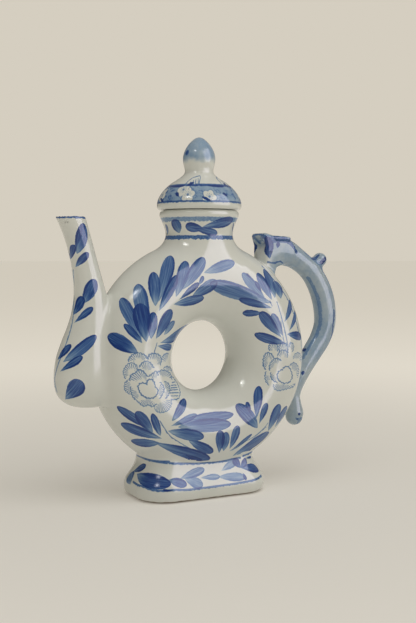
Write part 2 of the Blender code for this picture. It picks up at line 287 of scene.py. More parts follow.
# ---------------------------------------------------------------- surface nets
def surface(fn, lo, hi, h, ysnap=True, relax=2):
    lo, hi = np.array(lo, float), np.array(hi, float)
    if ysnap:                                   # a layer of cells centred on y = 0
        n = math.ceil(-lo[1] / h)
        lo[1] = -(n + 0.5) * h
    dims = np.ceil((hi - lo) / h).astype(int) + 2
    dims = (dims + 2) // 3 * 3 + 1
    # coarse pass on every third point
    ax = [lo[i] + h * np.arange(dims[i]) for i in range(3)]
    cz = [a[1::3] for a in ax]
    G = np.stack(np.meshgrid(*cz, indexing="ij"), -1)
    C = fn(G.reshape(-1, 3)).reshape(G.shape[:3])
    F = np.repeat(np.repeat(np.repeat(C, 3, 0), 3, 1), 3, 2)
    pad = [dims[i] - F.shape[i] for i in range(3)]
    F = np.pad(F, [(0, max(p, 0)) for p in pad], mode="edge")[:dims[0], :dims[1], :dims[2]]
    near = np.abs(F) < 3 * h * 1.05
    ii = np.argwhere(near)
    F[near] = fn(lo + h * ii)
    S = F < 0
    # active cells
    c = [S[i:S.shape[0] - 1 + i, j:S.shape[1] - 1 + j, k:S.shape[2] - 1 + k]
         for i in (0, 1) for j in (0, 1) for k in (0, 1)]
    s = sum(x.astype(np.int8) for x in c)
    act = (s > 0) & (s < 8)
    cells = np.argwhere(act)
    index = np.full(act.shape, -1, np.int64)
    index[act] = np.arange(len(cells))
    offs = np.array([(i, j, k) for i in (0, 1) for j in (0, 1) for k in (0, 1)])
    val = np.stack([F[tuple((cells + o).T)] for o in offs], 1)
    acc = np.zeros((len(cells), 3))
    cnt = np.zeros(len(cells))
    for a in range(8):
        for b in range(a + 1, 8):
            if np.abs(offs[a] - offs[b]).sum() != 1:
                continue
            m = (val[:, a] < 0) != (val[:, b] < 0)
            t = val[m, a] / (val[m, a] - val[m, b])
            acc[m] += offs[a] + t[:, None] * (offs[b] - offs[a])
            cnt[m] += 1
    V = lo + h * (cells + acc / cnt[:, None])
    faces = []
    for axis in range(3):
        sl0 = [slice(None)] * 3
        sl1 = [slice(None)] * 3
        sl0[axis] = slice(0, -1)
        sl1[axis] = slice(1, None)
        ch = S[tuple(sl0)] != S[tuple(sl1)]
        e = np.argwhere(ch)
        u, v = (axis + 1) % 3, (axis + 2) % 3
        ok = (e[:, u] > 0) & (e[:, v] > 0) & (e[:, u] < act.shape[u]) & (e[:, v] < act.shape[v]) & (e[:, axis] < act.shape[axis])
        e = e[ok]
        du = np.zeros(3, int)
        dv = np.zeros(3, int)
        du[u] = 1
        dv[v] = 1
        q = np.stack([index[tuple(e.T)], index[tuple((e - du).T)],
                      index[tuple((e - du - dv).T)], index[tuple((e - dv).T)]], 1)
        inside0 = S[tuple(e.T)]
        q[~inside0] = q[~inside0][:, ::-1]
        faces.append(q)
    Fc = np.vstack(faces)
    assert (Fc >= 0).all()
    mid = np.abs(V[:, 1]) < 0.5 * h if ysnap else np.zeros(len(V), bool)
    mid = mid & (cells[:, 1] == int(round((-0.5 * h - lo[1]) / h))) if ysnap else mid

    def grad(V, f=None):
        e = 0.05
        if f is not None:
            return np.stack([(fn(V + d) - f) / e for d in np.eye(3) * e], 1)
        return np.stack([(fn(V + d) - fn(V - d)) / (2 * e) for d in np.eye(3) * e], 1)

    def project(V, rounds):
        for _ in range(rounds):
            f = fn(V)
            g = grad(V, f)
            step = f / np.maximum((g * g).sum(1), 0.05)
            step = np.clip(step, -0.5 * h, 0.5 * h)
            V = V - step[:, None] * g
            V[mid, 1] = 0.0
        return V

    V[mid, 1] = 0.0
    V = project(V, 1)
    edges = np.vstack([Fc[:, [i, (i + 1) % 4]] for i in range(4)])
    for _ in range(relax):
        acc = np.zeros_like(V)
        cnt = np.zeros(len(V))
        np.add.at(acc, edges[:, 0], V[edges[:, 1]])
        np.add.at(acc, edges[:, 1], V[edges[:, 0]])
        np.add.at(cnt, edges[:, 0], 1)
        np.add.at(cnt, edges[:, 1], 1)
        g = grad(V, fn(V))
        n = g / np.maximum(np.linalg.norm(g, axis=1), 1e-6)[:, None]
        move = (acc / cnt[:, None] - V) * 0.6
        move -= (move * n).sum(1)[:, None] * n
        V = project(V + move, 1)
    V = project(V, 1)
    g = grad(V)
    N = g / np.maximum(np.linalg.norm(g, axis=1), 1e-6)[:, None]
    return V, Fc, N


# ---------------------------------------------------------------- pieces
# ---------------------------------------------------------------- painting charts
def chart_ring(P):
    """Flattened face of the ring: the tube's turn becomes distance from the ring's centre."""
    x, z = P[:, 0], P[:, 2] - RING_Z
    rho = np.hypot(x, z)
    phi = np.arctan2(rho - RING_R, np.abs(P[:, 1]))
    s = RING_R + TUBE_R * phi
    return np.stack([s * x / rho, s * z / rho], -1)


def chart_turned(P, r):
    """Turned pieces: arc length round the axis from the front, and height."""
    return np.stack([r * np.arctan2(P[:, 0], -P[:, 1]), P[:, 2]], -1)


def chart_foot(P):
    """Arc length round the foot from the front, and height."""
    dx, dy = P[:, 0] - FOOT_X, P[:, 1]
    cx, cy = np.clip(dx, -24, 24), np.clip(dy, -7.5, 7.5)
    al = np.arctan2(dx - cx, -(dy - cy))
    al = np.where((cy == 7.5) & (np.abs(cx) < 24), np.where(dx >= 0, math.pi, -math.pi), al)
    sg = np.where(al >= 0, 1.0, -1.0)
    u = np.where(cy <= -7.5, cx + 18 * al,
                 sg * (24 + 18 * np.abs(al) + (cy + 7.5) + np.where(cy >= 7.5, 24 - np.abs(cx), 0.0)))
    return np.stack([u, P[:, 2]], -1)


def chart_spout(P):
    z = np.clip(P[:, 2], 55.5, 170)
    cx = np.interp(z, SP[:, 0], SP[:, 1])
    r = 0.5 * (np.sqrt(np.interp(z, SP[:, 0], SP[:, 2])) + np.sqrt(np.interp(z, SP[:, 0], SP[:, 3])))
    return np.stack([r * np.arctan2(P[:, 0] - cx, -P[:, 1]), P[:, 2]], -1)


def chart_handle(P):
    """Turn round the handle (0 faces the front, positive is the outer side) and length along it."""
    dn, tt, side = tube_near(P)
    seg = np.concatenate([[0], np.cumsum(np.hypot(*np.diff(HC[:, :2], axis=0).T))])
    t = np.interp(tt, np.arange(len(HC)), seg)
    return np.stack([7.0 * np.arctan2(side * dn, -P[:, 1]), t], -1)


# Brush strokes in chart millimetres: root, tip, half width, depth of the blue.
RING_LEAVES = [
    (-40.4, 32.2, -39.8, 53.5, 3.6, 1.55),
    (-38.5, 34.5, -27.3, 64.5, 3.9, 1.35),
    (-38.4, 29.3, -26.0, 50.1, 2.8, 1.6),
    (-27.6, 37.2, -19.1, 58.9, 3.6, 1.45),
    (-23.7, 41.2, -8.0, 59.8, 3.8, 1.3),
    (-25.6, 35.4, -12.7, 45.1, 1.9, 1.75),
    (-12.7, 43.9, -9.7, 49.1, 1.2, 1.3),
    (-29.2, 32.9, -8.5, 36.0, 3.0, 1.35),
    (-48.9, 12.5, -60.6, 39.2, 3.7, 1.35),
    (-46.0, 14.1, -49.8, 46.7, 4.3, 1.2),
    (-46.3, 11.8, -49.8, 34.2, 5.2, 1.7),
    (-43.5, 13.4, -41.7, 28.8, 3.1, 1.75),
    (-48.7, 11.3, -59.0, 22.6, 2.1, 1.55),
    (-40.2, 13.3, -30.4, 30.0, 3.5, 1.6),
    (-34.5, 15.2, -27.3, 23.0, 2.2, 1.0),
    (-37.3, 10.8, -9.7, 14.7, 3.8, 1.35),
    (-39.4, 9.2, -24.3, 6.6, 2.0, 1.2),
    (-51.4, 5.7, -69.0, 16.6, 4.3, 1.9),
    (-9.3, 50.9, 12.6, 57.5, 3.1, 1.1),
    (-18.2, 35.8, -1.1, 46.2, 3.6, 1.3),
    (37.4, 32.3, -5.7, 45.0, 4.8, 1.3),
    (34.4, 31.8, 16.9, 50.8, 3.2, 1.05),
    (30.2, 38.6, 25.8, 45.9, 1.3, 1.7),
    (23.7, 47.2, 19.8, 50.6, 0.8, 1.7),
    (37.5, 34.2, 28.7, 51.1, 3.5, 1.7),
    (40.1, 35.4, 37.6, 54.9, 4.0, 1.4),
    (45.5, 34.8, 45.4, 46.9, 5.5, 1.3),
    (37.3, 29.3, 14.8, 35.0, 2.3, 1.6),
    (31.8, 26.4, 18.4, 25.9, 2.2, 1.7),
    (44.5, 10.7, 29.2, 27.0, 3.4, 1.55),
    (45.2, 11.9, 37.2, 25.9, 2.7, 1.2),
    (46.6, 20.5, 58.4, 34.9, 2.4, 1.4),
    (50.1, 14.8, 62.9, 27.7, 2.0, 1.3),
    (48.3, 13.0, 66.2, 10.4, 2.8, 1.8),
    (47.4, 6.9, 26.9, 12.9, 2.8, 1.7),
    (-43.4, -38.7, -63.5, -26.8, 2.8, 1.65),
    (-41.3, -41.9, -52.0, -28.6, 3.3, 1.6),
    (-35.7, -45.5, -61.0, -38.6, 3.6, 1.7),
    (-36.8, -43.8, -42.7, -29.7, 2.2, 1.55),
    (-36.5, -48.7, -54.2, -51.7, 3.5, 1.6),
    (-40.1, -48.3, -3.1, -61.4, 3.7, 1.75),
    (-22.0, -57.2, -6.8, -63.7, 2.0, 1.7),
    (-30.3, -34.9, -18.2, -22.4, 2.8, 1.7),
    (-30.9, -37.8, -12.6, -32.3, 1.9, 1.15),
    (-27.7, -36.8, 11.6, -33.9, 3.6, 1.35),
    (-26.4, -38.7, 9.1, -39.7, 4.1, 1.35),
    (-32.6, -40.7, -9.4, -46.0, 3.5, 1.35),
    (-19.7, -47.0, -2.2, -56.6, 3.0, 1.6),
    (2.1, -57.5, 1.4, -43.0, 3.1, 1.75),
    (5.0, -56.4, 5.4, -44.2, 2.8, 1.45),
    (9.0, -55.5, 13.7, -41.0, 2.7, 1.4),
    (27.7, -43.8, 14.2, -28.1, 4.1, 1.7),
    (22.9, -34.7, 20.8, -27.2, 1.4, 1.7),
    (26.2, -38.0, 29.4, -18.1, 2.9, 1.8),
    (28.5, -41.3, 33.9, -28.7, 2.2, 1.35),
    (37.8, -47.6, 43.5, -30.2, 4.1, 1.4),
    (45.2, -46.7, 52.3, -33.0, 4.1, 1.3),
    (11.2, -63.0, 39.9, -49.3, 4.8, 1.45),
    (10.5, -57.2, 24.0, -47.2, 1.3, 1.1),
]
FOOT_LEAVES = [
    (-61.2, 6.7, -67.3, 12.2, 4.0, 1.15),
    (-65.1, 13.5, -51.8, 19.4, 2.1, 1.7),
    (-58.7, 13.3, -27.4, 10.8, 3.9, 2.0),
    (-28.5, 12.6, -17.3, 9.4, 2.5, 1.6),
    (-20.9, 12.7, -3.6, 16.5, 2.3, 0.95),
    (-18.0, 12.4, -7.0, 7.9, 3.1, 0.85),
    (-7.9, 12.0, 5.4, 11.6, 1.6, 0.75),
    (3.4, 11.5, 22.7, 9.7, 2.4, 0.85),
    (7.1, 14.4, 18.5, 19.0, 2.2, 0.7),
    (21.0, 14.8, 16.9, 20.6, 2.4, 2.1),
    (21.0, 14.8, 27.2, 19.6, 2.1, 1.9),
    (19.5, 15.5, 39.2, 12.6, 2.6, 1.7),
    (21.4, 12.0, 22.3, 8.0, 1.1, 1.5),
    (25.9, 19.8, 37.2, 19.8, 0.7, 1.3),
    (-26.7, 6.8, -32.6, 7.5, 0.7, 1.9),
]
SPOUT_LEAVES = [
    (-5.7, 144.6, 4.3, 161.9, 3.4, 1.95),
    (-12.8, 141.1, -5.7, 149.7, 2.1, 1.8),
    (-8.8, 137.1, 1.3, 145.4, 1.9, 1.75),
    (-8.5, 116.1, 1.8, 130.0, 3.5, 1.75),
    (-14.9, 109.7, -7.6, 120.3, 2.8, 1.95),
    (-14.3, 105.2, -2.4, 114.1, 1.9, 1.6),
    (-20.1, 83.3, -0.5, 98.1, 3.3, 1.6),
    (-24.2, 84.1, -15.8, 93.2, 1.8, 1.8),
    (-21.8, 77.9, -9.2, 86.6, 2.1, 1.7),
    (-18.1, 61.6, -9.3, 72.7, 5.2, 1.8),
]
NECK_LEAVES = [
    (-21.6, 157.1, -24.2, 165.1, 3.5, 1.6),
    (-6.7, 159.1, -17.2, 161.2, 2.8, 1.65),
    (-13.5, 160.0, 1.8, 156.8, 2.2, 1.5),
    (-8.4, 160.3, 12.2, 165.1, 3.0, 1.45),
    (18.8, 155.7, 14.9, 163.4, 0.7, 1.8),
    (-33.7, 156.2, -32.4, 162.7, 1.9, 1.5),
]
LID_LEAVES = [
    (-16.9, 185.0, -13.2, 187.1, 0.9, 1.5),
    (-30.7, 184.8, -18.1, 185.0, 0.8, 1.4),
    (-3.5, 175.3, -8.1, 178.2, 0.7, 1.6),
    (5.7, 178.4, 3.3, 180.9, 0.8, 1.7),
]
LID_LINES = [
    (0.5, (-18.4, 186.3), (-16.3, 189.6), (-12.1, 190.9), (-8.2, 191.2), (-9.0, 188.4), (-9.5, 185.5)),
    (0.5, (-15.5, 187.2), (-13.6, 185.9), (-11.8, 185.2)),
    (0.4, (-12.0, 189.1), (-11.5, 185.8)),
    (0.4, (-10.3, 189.7), (-9.9, 185.8)),
    (0.4, (-13.6, 188.4), (-12.4, 185.5)),
]
PETALS = [
    (2.6, (-50.3, -0.6), (-56.9, 0.9), (-56.4, 3.0), (-54.9, 4.5), (-53.0, 5.4), (-50.9, 5.7), (-48.8, 5.1),
     (-46.9, 4.0), (-45.8, 2.0)),
    (2.9, (-40.7, -2.3), (-45.4, 2.0), (-45.1, 4.1), (-43.0, 5.0), (-40.5, 4.8), (-37.8, 4.0), (-36.0, 2.1),
     (-35.9, -0.0), (-36.8, -2.0)),
    (3.1, (-28.7, -2.1), (-35.5, -0.1), (-35.3, 0.9), (-35.1, 1.8), (-34.6, 2.8), (-33.7, 3.5), (-32.4, 3.9),
     (-30.6, 4.0), (-28.3, 3.8)),
    (4.1, (-46.1, -6.6), (-50.8, -2.3), (-49.8, -1.1), (-48.6, 0.1), (-47.1, 0.8), (-45.4, 0.5),
     (-43.7, -0.4), (-42.6, -1.8), (-41.6, -3.3)),
    (2.6, (-54.8, -6.3), (-58.7, -9.1), (-59.5, -6.7), (-59.6, -4.3), (-58.5, -2.0), (-56.7, -0.4),
     (-54.3, -0.1), (-52.2, -1.4), (-52.0, -3.8)),
    (3.9, (-46.1, -13.5), (-56.1, -10.0), (-55.8, -7.8), (-54.3, -6.3), (-52.4, -5.2), (-51.0, -3.8),
     (-48.9, -4.6), (-47.1, -6.2), (-45.8, -8.1)),
    (3.2, (-40.3, -13.8), (-45.1, -8.1), (-44.0, -7.4), (-43.0, -6.7), (-41.8, -6.1), (-40.6, -5.5),
     (-39.3, -5.6), (-38.7, -6.8), (-38.2, -7.9)),
    (3.6, (-34.9, -10.2), (-39.2, -6.1), (-37.2, -5.4), (-34.8, -5.1), (-32.0, -5.5), (-29.2, -6.4),
     (-26.7, -7.6), (-26.0, -9.2), (-26.1, -10.9)),
    (2.5, (-53.6, -13.3), (-56.9, -9.6), (-58.0, -10.7), (-58.9, -12.0), (-59.2, -13.6), (-58.9, -15.2),
     (-58.3, -16.6), (-57.0, -17.6), (-55.6, -18.1)),
    (2.6, (-49.0, -17.4), (-55.6, -13.8), (-55.4, -15.1), (-55.3, -16.5), (-54.9, -17.9), (-54.4, -19.2),
     (-53.6, -20.4), (-52.6, -21.3), (-51.5, -22.1)),
    (3.8, (-45.4, -19.3), (-51.4, -22.4), (-50.0, -23.7), (-48.4, -24.9), (-46.6, -25.3), (-45.1, -24.3),
     (-43.5, -25.5), (-41.7, -25.4), (-40.3, -24.1)),
    (3.9, (-39.7, -16.8), (-38.3, -21.2), (-37.1, -20.1), (-35.9, -18.9), (-35.0, -17.5), (-34.6, -16.0),
     (-35.0, -14.4), (-35.9, -13.0), (-37.4, -11.9)),
    (2.9, (-35.5, -16.5), (-33.8, -11.7), (-31.4, -12.5), (-29.9, -13.8), (-29.8, -15.6), (-30.3, -17.3),
     (-31.1, -18.9), (-32.4, -20.4), (-34.0, -21.6)),
    (4.8, (-37.9, -21.5), (-41.4, -26.5), (-39.9, -28.4), (-37.5, -29.2), (-35.1, -29.1), (-32.7, -28.2),
     (-30.9, -26.6), (-29.9, -24.4), (-29.7, -22.1)),
    (3.4, (-29.4, -6.5), (-33.9, -4.3), (-32.5, -3.7), (-30.7, -3.3), (-28.4, -3.6), (-25.9, -4.2),
     (-24.0, -5.0), (-23.3, -6.0), (-22.8, -7.0)),
    (2.7, (39.6, 2.8), (36.2, 3.2), (35.9, 5.1), (36.4, 6.8), (38.0, 7.7), (39.8, 7.7), (41.3, 6.4),
     (41.8, 4.6), (41.7, 2.8)),
    (3.0, (45.6, 2.0), (42.8, 3.0), (42.7, 5.0), (43.3, 6.8), (45.0, 7.9), (47.2, 7.3), (48.3, 5.5),
     (48.8, 3.5), (48.8, 1.5)),
    (2.9, (51.5, 3.0), (49.5, 4.9), (50.0, 6.3), (50.8, 7.5), (52.7, 7.3), (53.6, 6.0), (53.9, 4.6),
     (53.5, 3.2), (52.9, 1.9)),
    (3.9, (56.5, -3.6), (53.5, -2.5), (54.2, -1.0), (55.7, 0.3), (58.5, 0.8), (62.0, -0.2), (64.1, -2.0),
     (64.4, -3.8), (64.7, -5.5)),
    (2.6, (36.7, -3.8), (39.1, -1.5), (38.0, 0.8), (35.7, 1.8), (33.5, 0.8), (32.7, -1.5), (32.5, -4.0),
     (32.8, -6.4), (33.9, -8.6)),
    (2.7, (40.5, -7.0), (36.3, -9.0), (36.3, -7.1), (36.6, -5.3), (37.5, -3.8), (38.8, -2.5), (40.6, -1.7),
     (42.4, -2.0), (44.0, -3.2)),
    (2.5, (45.3, -3.5), (41.4, -0.2), (42.1, 1.3), (43.2, 2.6), (44.8, 3.2), (46.6, 3.0), (48.2, 2.0),
     (48.7, 0.4), (48.7, -1.2)),
    (4.0, (53.7, -10.9), (50.6, -6.5), (52.6, -5.3), (55.5, -5.5), (58.4, -7.1), (60.3, -9.3), (61.4, -11.5),
     (61.0, -13.5), (60.2, -15.4)),
    (2.6, (37.1, -13.6), (34.1, -9.5), (33.7, -10.7), (33.3, -12.0), (33.4, -13.3), (33.6, -14.6),
     (34.1, -15.8), (34.8, -17.0), (35.5, -18.1)),
    (2.5, (40.4, -12.5), (37.0, -10.1), (37.0, -11.2), (37.0, -12.4), (37.4, -13.5), (38.0, -14.5),
     (38.9, -15.4), (40.0, -16.0), (41.2, -16.6)),
    (4.2, (45.4, -16.5), (38.6, -17.7), (39.1, -20.2), (41.5, -21.5), (44.5, -21.5), (47.7, -21.1),
     (51.4, -20.9), (55.7, -20.7), (58.1, -18.9)),
]
RING_LINES = [
    (0.6, (-39.5, 10.9), (-40.8, 6.9), (-41.5, 4.7)),
    (0.6, (-28.3, -14.3), (-22.5, -14.0)),
    (0.6, (-28.7, -15.7), (-22.2, -15.5)),
    (0.6, (-29.9, -17.0), (-22.0, -16.8)),
    (0.6, (-30.2, -18.6), (-22.4, -18.6)),
    (0.5, (-29.8, -20.4), (-23.7, -20.5)),
    (0.5, (-26.6, -12.6), (-22.6, -12.2)),
    (0.6, (48.6, 4.4), (48.6, 2.5)),
    (1.0, (37.3, 57.3), (41.1, 50.4), (48.1, 42.6), (54.7, 33.2), (58.6, 22.8), (61.8, 12.5)),
    (0.7, (41.4, 32.9), (43.3, 26.7), (45.3, 19.9), (47.5, 11.8), (48.6, 6.2)),
    (0.5, (43.8, 20.6), (44.8, 13.2), (45.9, 8.2)),
    (0.6, (35.9, 33.6), (37.3, 30.5)),
    (0.6, (-37.8, -34.4), (-34.5, -39.4), (-31.1, -43.9), (-24.5, -48.6), (-18.5, -52.3)),
    (0.45, (9.8, -57.0), (16.1, -52.9), (24.6, -50.0), (31.6, -45.6), (35.7, -41.5)),
    (0.5, (21.1, -54.5), (27.6, -49.1), (34.6, -44.1)),
    (0.45, (43.9, -51.3), (50.3, -45.7), (53.0, -38.3)),
    (0.4, (44.7, -44.2), (51.2, -40.0), (54.1, -35.6)),
    (0.6, (-19.5, -57.3), (-12.3, -61.9), (-5.5, -63.0)),
    (0.62, (-56.8, 0.9), (-57.0, 1.8), (-56.4, 2.6), (-56.3, 3.5), (-55.4, 3.9), (-55.0, 4.7), (-53.9, 4.8),
     (-53.3, 5.5), (-52.3, 5.4), (-51.6, 5.9), (-50.6, 5.5), (-49.8, 5.7), (-49.0, 5.0), (-48.0, 5.0),
     (-47.4, 4.2), (-46.5, 3.8), (-46.3, 2.8), (-45.6, 2.2)),
    (0.62, (-45.3, 1.9), (-45.6, 3.1), (-45.2, 3.6), (-44.8, 4.7), (-43.8, 4.7), (-42.9, 5.3), (-41.8, 4.9),
     (-40.8, 5.1), (-39.7, 4.5), (-38.5, 4.5), (-37.6, 3.7), (-36.5, 3.3), (-36.2, 2.1), (-35.5, 1.5),
     (-35.9, 0.4), (-35.7, -0.2), (-36.6, -1.2), (-36.4, -2.0)),
    (0.55, (-35.3, -0.2), (-35.6, 0.9), (-35.0, 1.5), (-35.1, 2.6), (-34.1, 3.0), (-33.4, 3.9), (-31.9, 3.9),
     (-30.4, 4.2), (-28.3, 3.6)),
    (0.62, (-50.7, -2.4), (-50.5, -1.5), (-49.7, -1.1), (-49.2, -0.1), (-48.4, 0.1), (-47.7, 0.9),
     (-46.7, 0.7), (-45.7, 0.9), (-44.9, 0.1), (-43.9, -0.0), (-43.3, -1.0), (-42.5, -1.4), (-42.2, -2.6),
     (-41.4, -3.1)),
    (0.5, (-58.6, -9.0), (-59.2, -8.4), (-59.1, -7.4), (-59.8, -6.6), (-59.6, -5.8), (-60.0, -4.8),
     (-59.4, -4.1), (-59.4, -3.1), (-58.7, -2.5), (-58.4, -1.5), (-57.6, -1.2), (-57.1, -0.3), (-56.2, -0.3),
     (-55.4, 0.3), (-54.5, -0.1), (-53.7, -0.1), (-53.0, -0.9), (-52.2, -1.1), (-52.0, -2.2), (-51.8, -2.8),
     (-52.1, -3.9)),
    (0.66, (-56.0, -10.1), (-56.2, -9.0), (-55.7, -8.3), (-55.8, -7.2), (-54.9, -6.7), (-54.4, -6.1),
     (-53.2, -6.0), (-52.8, -5.2), (-52.0, -4.8), (-51.7, -3.8), (-50.6, -3.9), (-49.9, -3.9), (-48.9, -4.7),
     (-48.2, -4.8), (-47.5, -5.9), (-46.9, -6.3), (-46.4, -7.4), (-45.8, -7.8)),
    (0.6, (-45.0, -8.2), (-44.4, -7.3), (-43.4, -7.2), (-42.7, -6.3), (-41.7, -6.2), (-40.8, -5.3),
     (-39.7, -5.5), (-38.9, -5.9), (-38.7, -7.2), (-38.2, -7.7)),
    (0.6, (-39.1, -6.2), (-38.3, -5.5), (-36.9, -5.5), (-35.8, -4.9), (-34.4, -5.3), (-32.8, -5.1),
     (-31.4, -5.8), (-29.5, -6.0), (-28.6, -6.8), (-26.5, -7.3), (-26.5, -8.3), (-25.3, -9.0),
     (-26.4, -10.0), (-25.6, -10.9)),
    (0.74, (-45.9, -12.7), (-46.9, -11.9), (-47.6, -11.9), (-48.8, -11.4), (-49.4, -11.8), (-50.5, -11.9),
     (-50.8, -12.7), (-51.5, -13.4), (-51.1, -14.4), (-51.2, -15.3), (-50.5, -16.1), (-50.5, -17.0),
     (-49.6, -17.6), (-49.3, -18.6), (-48.3, -18.9), (-47.7, -19.8), (-46.8, -19.8), (-46.0, -20.6),
     (-45.1, -20.4), (-44.1, -20.9), (-43.2, -20.6), (-42.1, -20.7), (-41.5, -20.0), (-40.5, -19.8),
     (-40.1, -18.8), (-39.3, -18.3), (-39.3, -17.3), (-38.7, -16.6), (-39.5, -15.6), (-39.8, -15.0),
     (-40.9, -14.3), (-40.7, -13.3), (-41.3, -12.6), (-41.3, -11.5), (-42.2, -11.0), (-42.6, -9.9),
     (-43.7, -9.8), (-44.6, -9.5), (-45.4, -10.3), (-45.9, -10.7), (-46.1, -11.9)),
    (0.45, (-56.8, -9.7), (-57.7, -10.1), (-58.0, -10.9), (-59.0, -11.5), (-58.9, -12.5), (-59.4, -13.5),
     (-59.0, -14.4), (-59.1, -15.4), (-58.4, -16.1), (-58.2, -17.1), (-57.2, -17.3), (-56.6, -18.0),
     (-55.5, -18.0)),
    (0.55, (-55.4, -13.8), (-55.7, -14.6), (-55.3, -15.6), (-55.5, -16.4), (-54.9, -17.3), (-55.1, -18.2),
     (-54.3, -18.9), (-54.3, -19.9), (-53.4, -20.4), (-53.1, -21.2), (-52.1, -21.5), (-51.6, -22.3)),
    (0.5, (-51.2, -22.3), (-50.9, -23.1), (-50.0, -23.5), (-49.5, -24.4), (-48.6, -24.6), (-47.9, -25.4),
     (-46.9, -25.2), (-46.2, -25.3), (-45.5, -24.3), (-44.7, -24.7), (-44.0, -24.9), (-43.1, -25.9),
     (-42.4, -25.6), (-41.5, -25.5), (-41.1, -24.6), (-40.1, -24.3)),
    (0.55, (-38.3, -21.1), (-37.4, -20.8), (-37.0, -19.8), (-36.0, -19.4), (-35.8, -18.4), (-34.8, -17.7),
     (-34.9, -16.8), (-34.3, -15.8), (-35.0, -15.0), (-34.9, -13.9), (-35.8, -13.3), (-36.3, -12.3),
     (-37.5, -12.0)),
    (0.55, (-33.8, -11.8), (-32.5, -11.9), (-31.6, -12.6), (-30.1, -12.9), (-30.1, -13.9), (-29.4, -14.6),
     (-30.0, -15.6), (-29.6, -16.4), (-30.5, -17.3), (-30.3, -18.2), (-31.2, -18.9), (-31.5, -19.9),
     (-32.5, -20.2), (-33.1, -21.2), (-34.1, -21.4)),
    (0.45, (-41.3, -26.4), (-41.0, -27.5), (-40.3, -27.9), (-39.6, -28.9), (-38.6, -28.9), (-37.7, -29.5),
     (-36.7, -29.1), (-35.7, -29.5), (-34.8, -28.9), (-33.7, -29.0), (-33.0, -28.3), (-31.9, -28.1),
     (-31.5, -27.1), (-30.6, -26.6), (-30.5, -25.6), (-29.7, -24.9), (-30.1, -23.9), (-29.5, -23.1),
     (-29.9, -22.1)),
    (0.6, (-24.7, -9.5), (-22.8, -9.8), (-22.7, -10.8), (-20.6, -11.1), (-21.0, -12.0), (-19.3, -12.5),
     (-20.2, -13.5), (-19.1, -14.2), (-20.1, -15.2), (-19.4, -16.1), (-20.5, -17.0), (-20.1, -18.0),
     (-21.2, -18.9), (-21.5, -20.0), (-22.8, -20.8), (-23.3, -21.8), (-24.8, -22.2), (-25.8, -22.8),
     (-27.3, -22.4), (-28.3, -22.6), (-29.7, -22.2)),
    (0.5, (-33.8, -4.4), (-33.1, -3.6), (-31.5, -3.5), (-30.0, -3.1), (-28.2, -3.8), (-25.8, -3.9),
     (-24.8, -4.8), (-22.7, -5.3), (-23.7, -6.3), (-21.9, -7.0)),
    (0.6, (36.4, 3.2), (35.8, 4.2), (36.0, 5.0), (35.8, 6.1), (36.5, 6.6), (37.0, 7.6), (38.0, 7.6),
     (38.9, 8.1), (39.8, 7.5), (40.7, 7.4), (41.2, 6.3), (41.9, 5.8), (41.7, 4.5), (42.0, 3.8), (41.5, 2.8)),
    (0.6, (42.9, 2.9), (42.5, 4.1), (42.8, 4.7), (42.6, 6.0), (43.2, 6.5), (43.7, 7.6), (44.6, 7.7),
     (45.6, 8.2), (46.7, 7.5), (47.6, 7.2), (48.0, 6.0), (48.6, 5.4), (48.5, 4.2), (49.1, 3.5), (48.6, 2.4),
     (49.1, 1.5)),
    (0.55, (49.6, 4.8), (49.7, 6.1), (50.2, 6.7), (50.9, 7.8), (52.3, 7.3), (53.4, 7.0), (53.6, 5.6),
     (54.2, 4.9), (53.5, 3.7), (53.7, 2.8), (52.7, 2.0)),
    (0.45, (53.7, -2.6), (53.6, -1.4), (54.4, -0.9), (55.1, 0.3), (56.5, 0.4), (58.3, 1.1), (60.1, 0.4),
     (62.7, -0.2), (63.3, -1.4), (65.3, -2.4), (63.8, -3.4), (65.8, -4.6), (64.0, -5.4)),
    (0.62, (39.0, -1.6), (38.8, -0.3), (38.2, 0.2), (37.7, 1.3), (36.8, 1.4), (35.8, 2.0), (34.9, 1.5),
     (33.9, 1.5), (33.4, 0.4), (32.8, -0.2), (32.9, -1.3), (32.4, -2.1), (32.7, -3.2), (32.3, -4.1),
     (32.7, -5.0), (32.5, -6.1), (33.1, -6.8), (33.3, -8.0), (34.0, -8.5)),
    (0.55, (36.4, -8.9), (36.1, -8.1), (36.5, -7.1), (36.1, -6.2), (36.7, -5.4), (36.8, -4.4), (37.6, -3.9),
     (38.0, -2.8), (38.9, -2.6), (39.6, -1.7), (40.5, -1.9), (41.6, -1.4), (42.4, -2.1), (43.4, -2.3),
     (43.9, -3.3)),
    (0.55, (41.6, -0.3), (41.7, 0.9), (42.3, 1.4), (42.7, 2.6), (43.7, 2.7), (44.6, 3.4), (45.7, 3.1),
     (46.9, 3.2), (47.7, 2.3), (48.6, 1.9), (48.5, 0.6), (48.9, -0.1), (48.5, -1.3)),
    (0.7, (45.1, -9.0), (43.8, -8.8), (43.1, -9.4), (41.9, -9.9), (41.9, -10.9), (41.1, -11.8),
     (41.5, -12.7), (41.3, -13.8), (42.1, -14.5), (42.4, -15.6), (43.5, -16.0), (44.3, -17.0), (45.5, -17.0),
     (46.7, -17.7), (47.9, -17.3), (49.5, -17.6), (50.4, -16.9), (51.9, -16.8), (52.2, -15.7), (53.3, -15.1),
     (52.8, -13.9), (53.4, -13.1), (52.5, -12.0), (52.7, -11.0), (51.6, -10.1), (51.5, -8.9), (50.2, -8.3),
     (49.6, -7.3), (48.2, -7.1), (47.2, -6.8), (46.3, -7.8), (45.4, -7.9)),
    (0.5, (50.7, -6.7), (51.4, -5.7), (52.6, -5.5), (54.0, -4.8), (55.5, -5.6), (57.2, -6.0), (58.2, -7.3),
     (59.8, -8.0), (60.0, -9.3), (61.7, -10.4), (60.9, -11.4), (62.2, -12.7), (60.5, -13.3), (61.2, -14.7),
     (59.8, -15.2)),
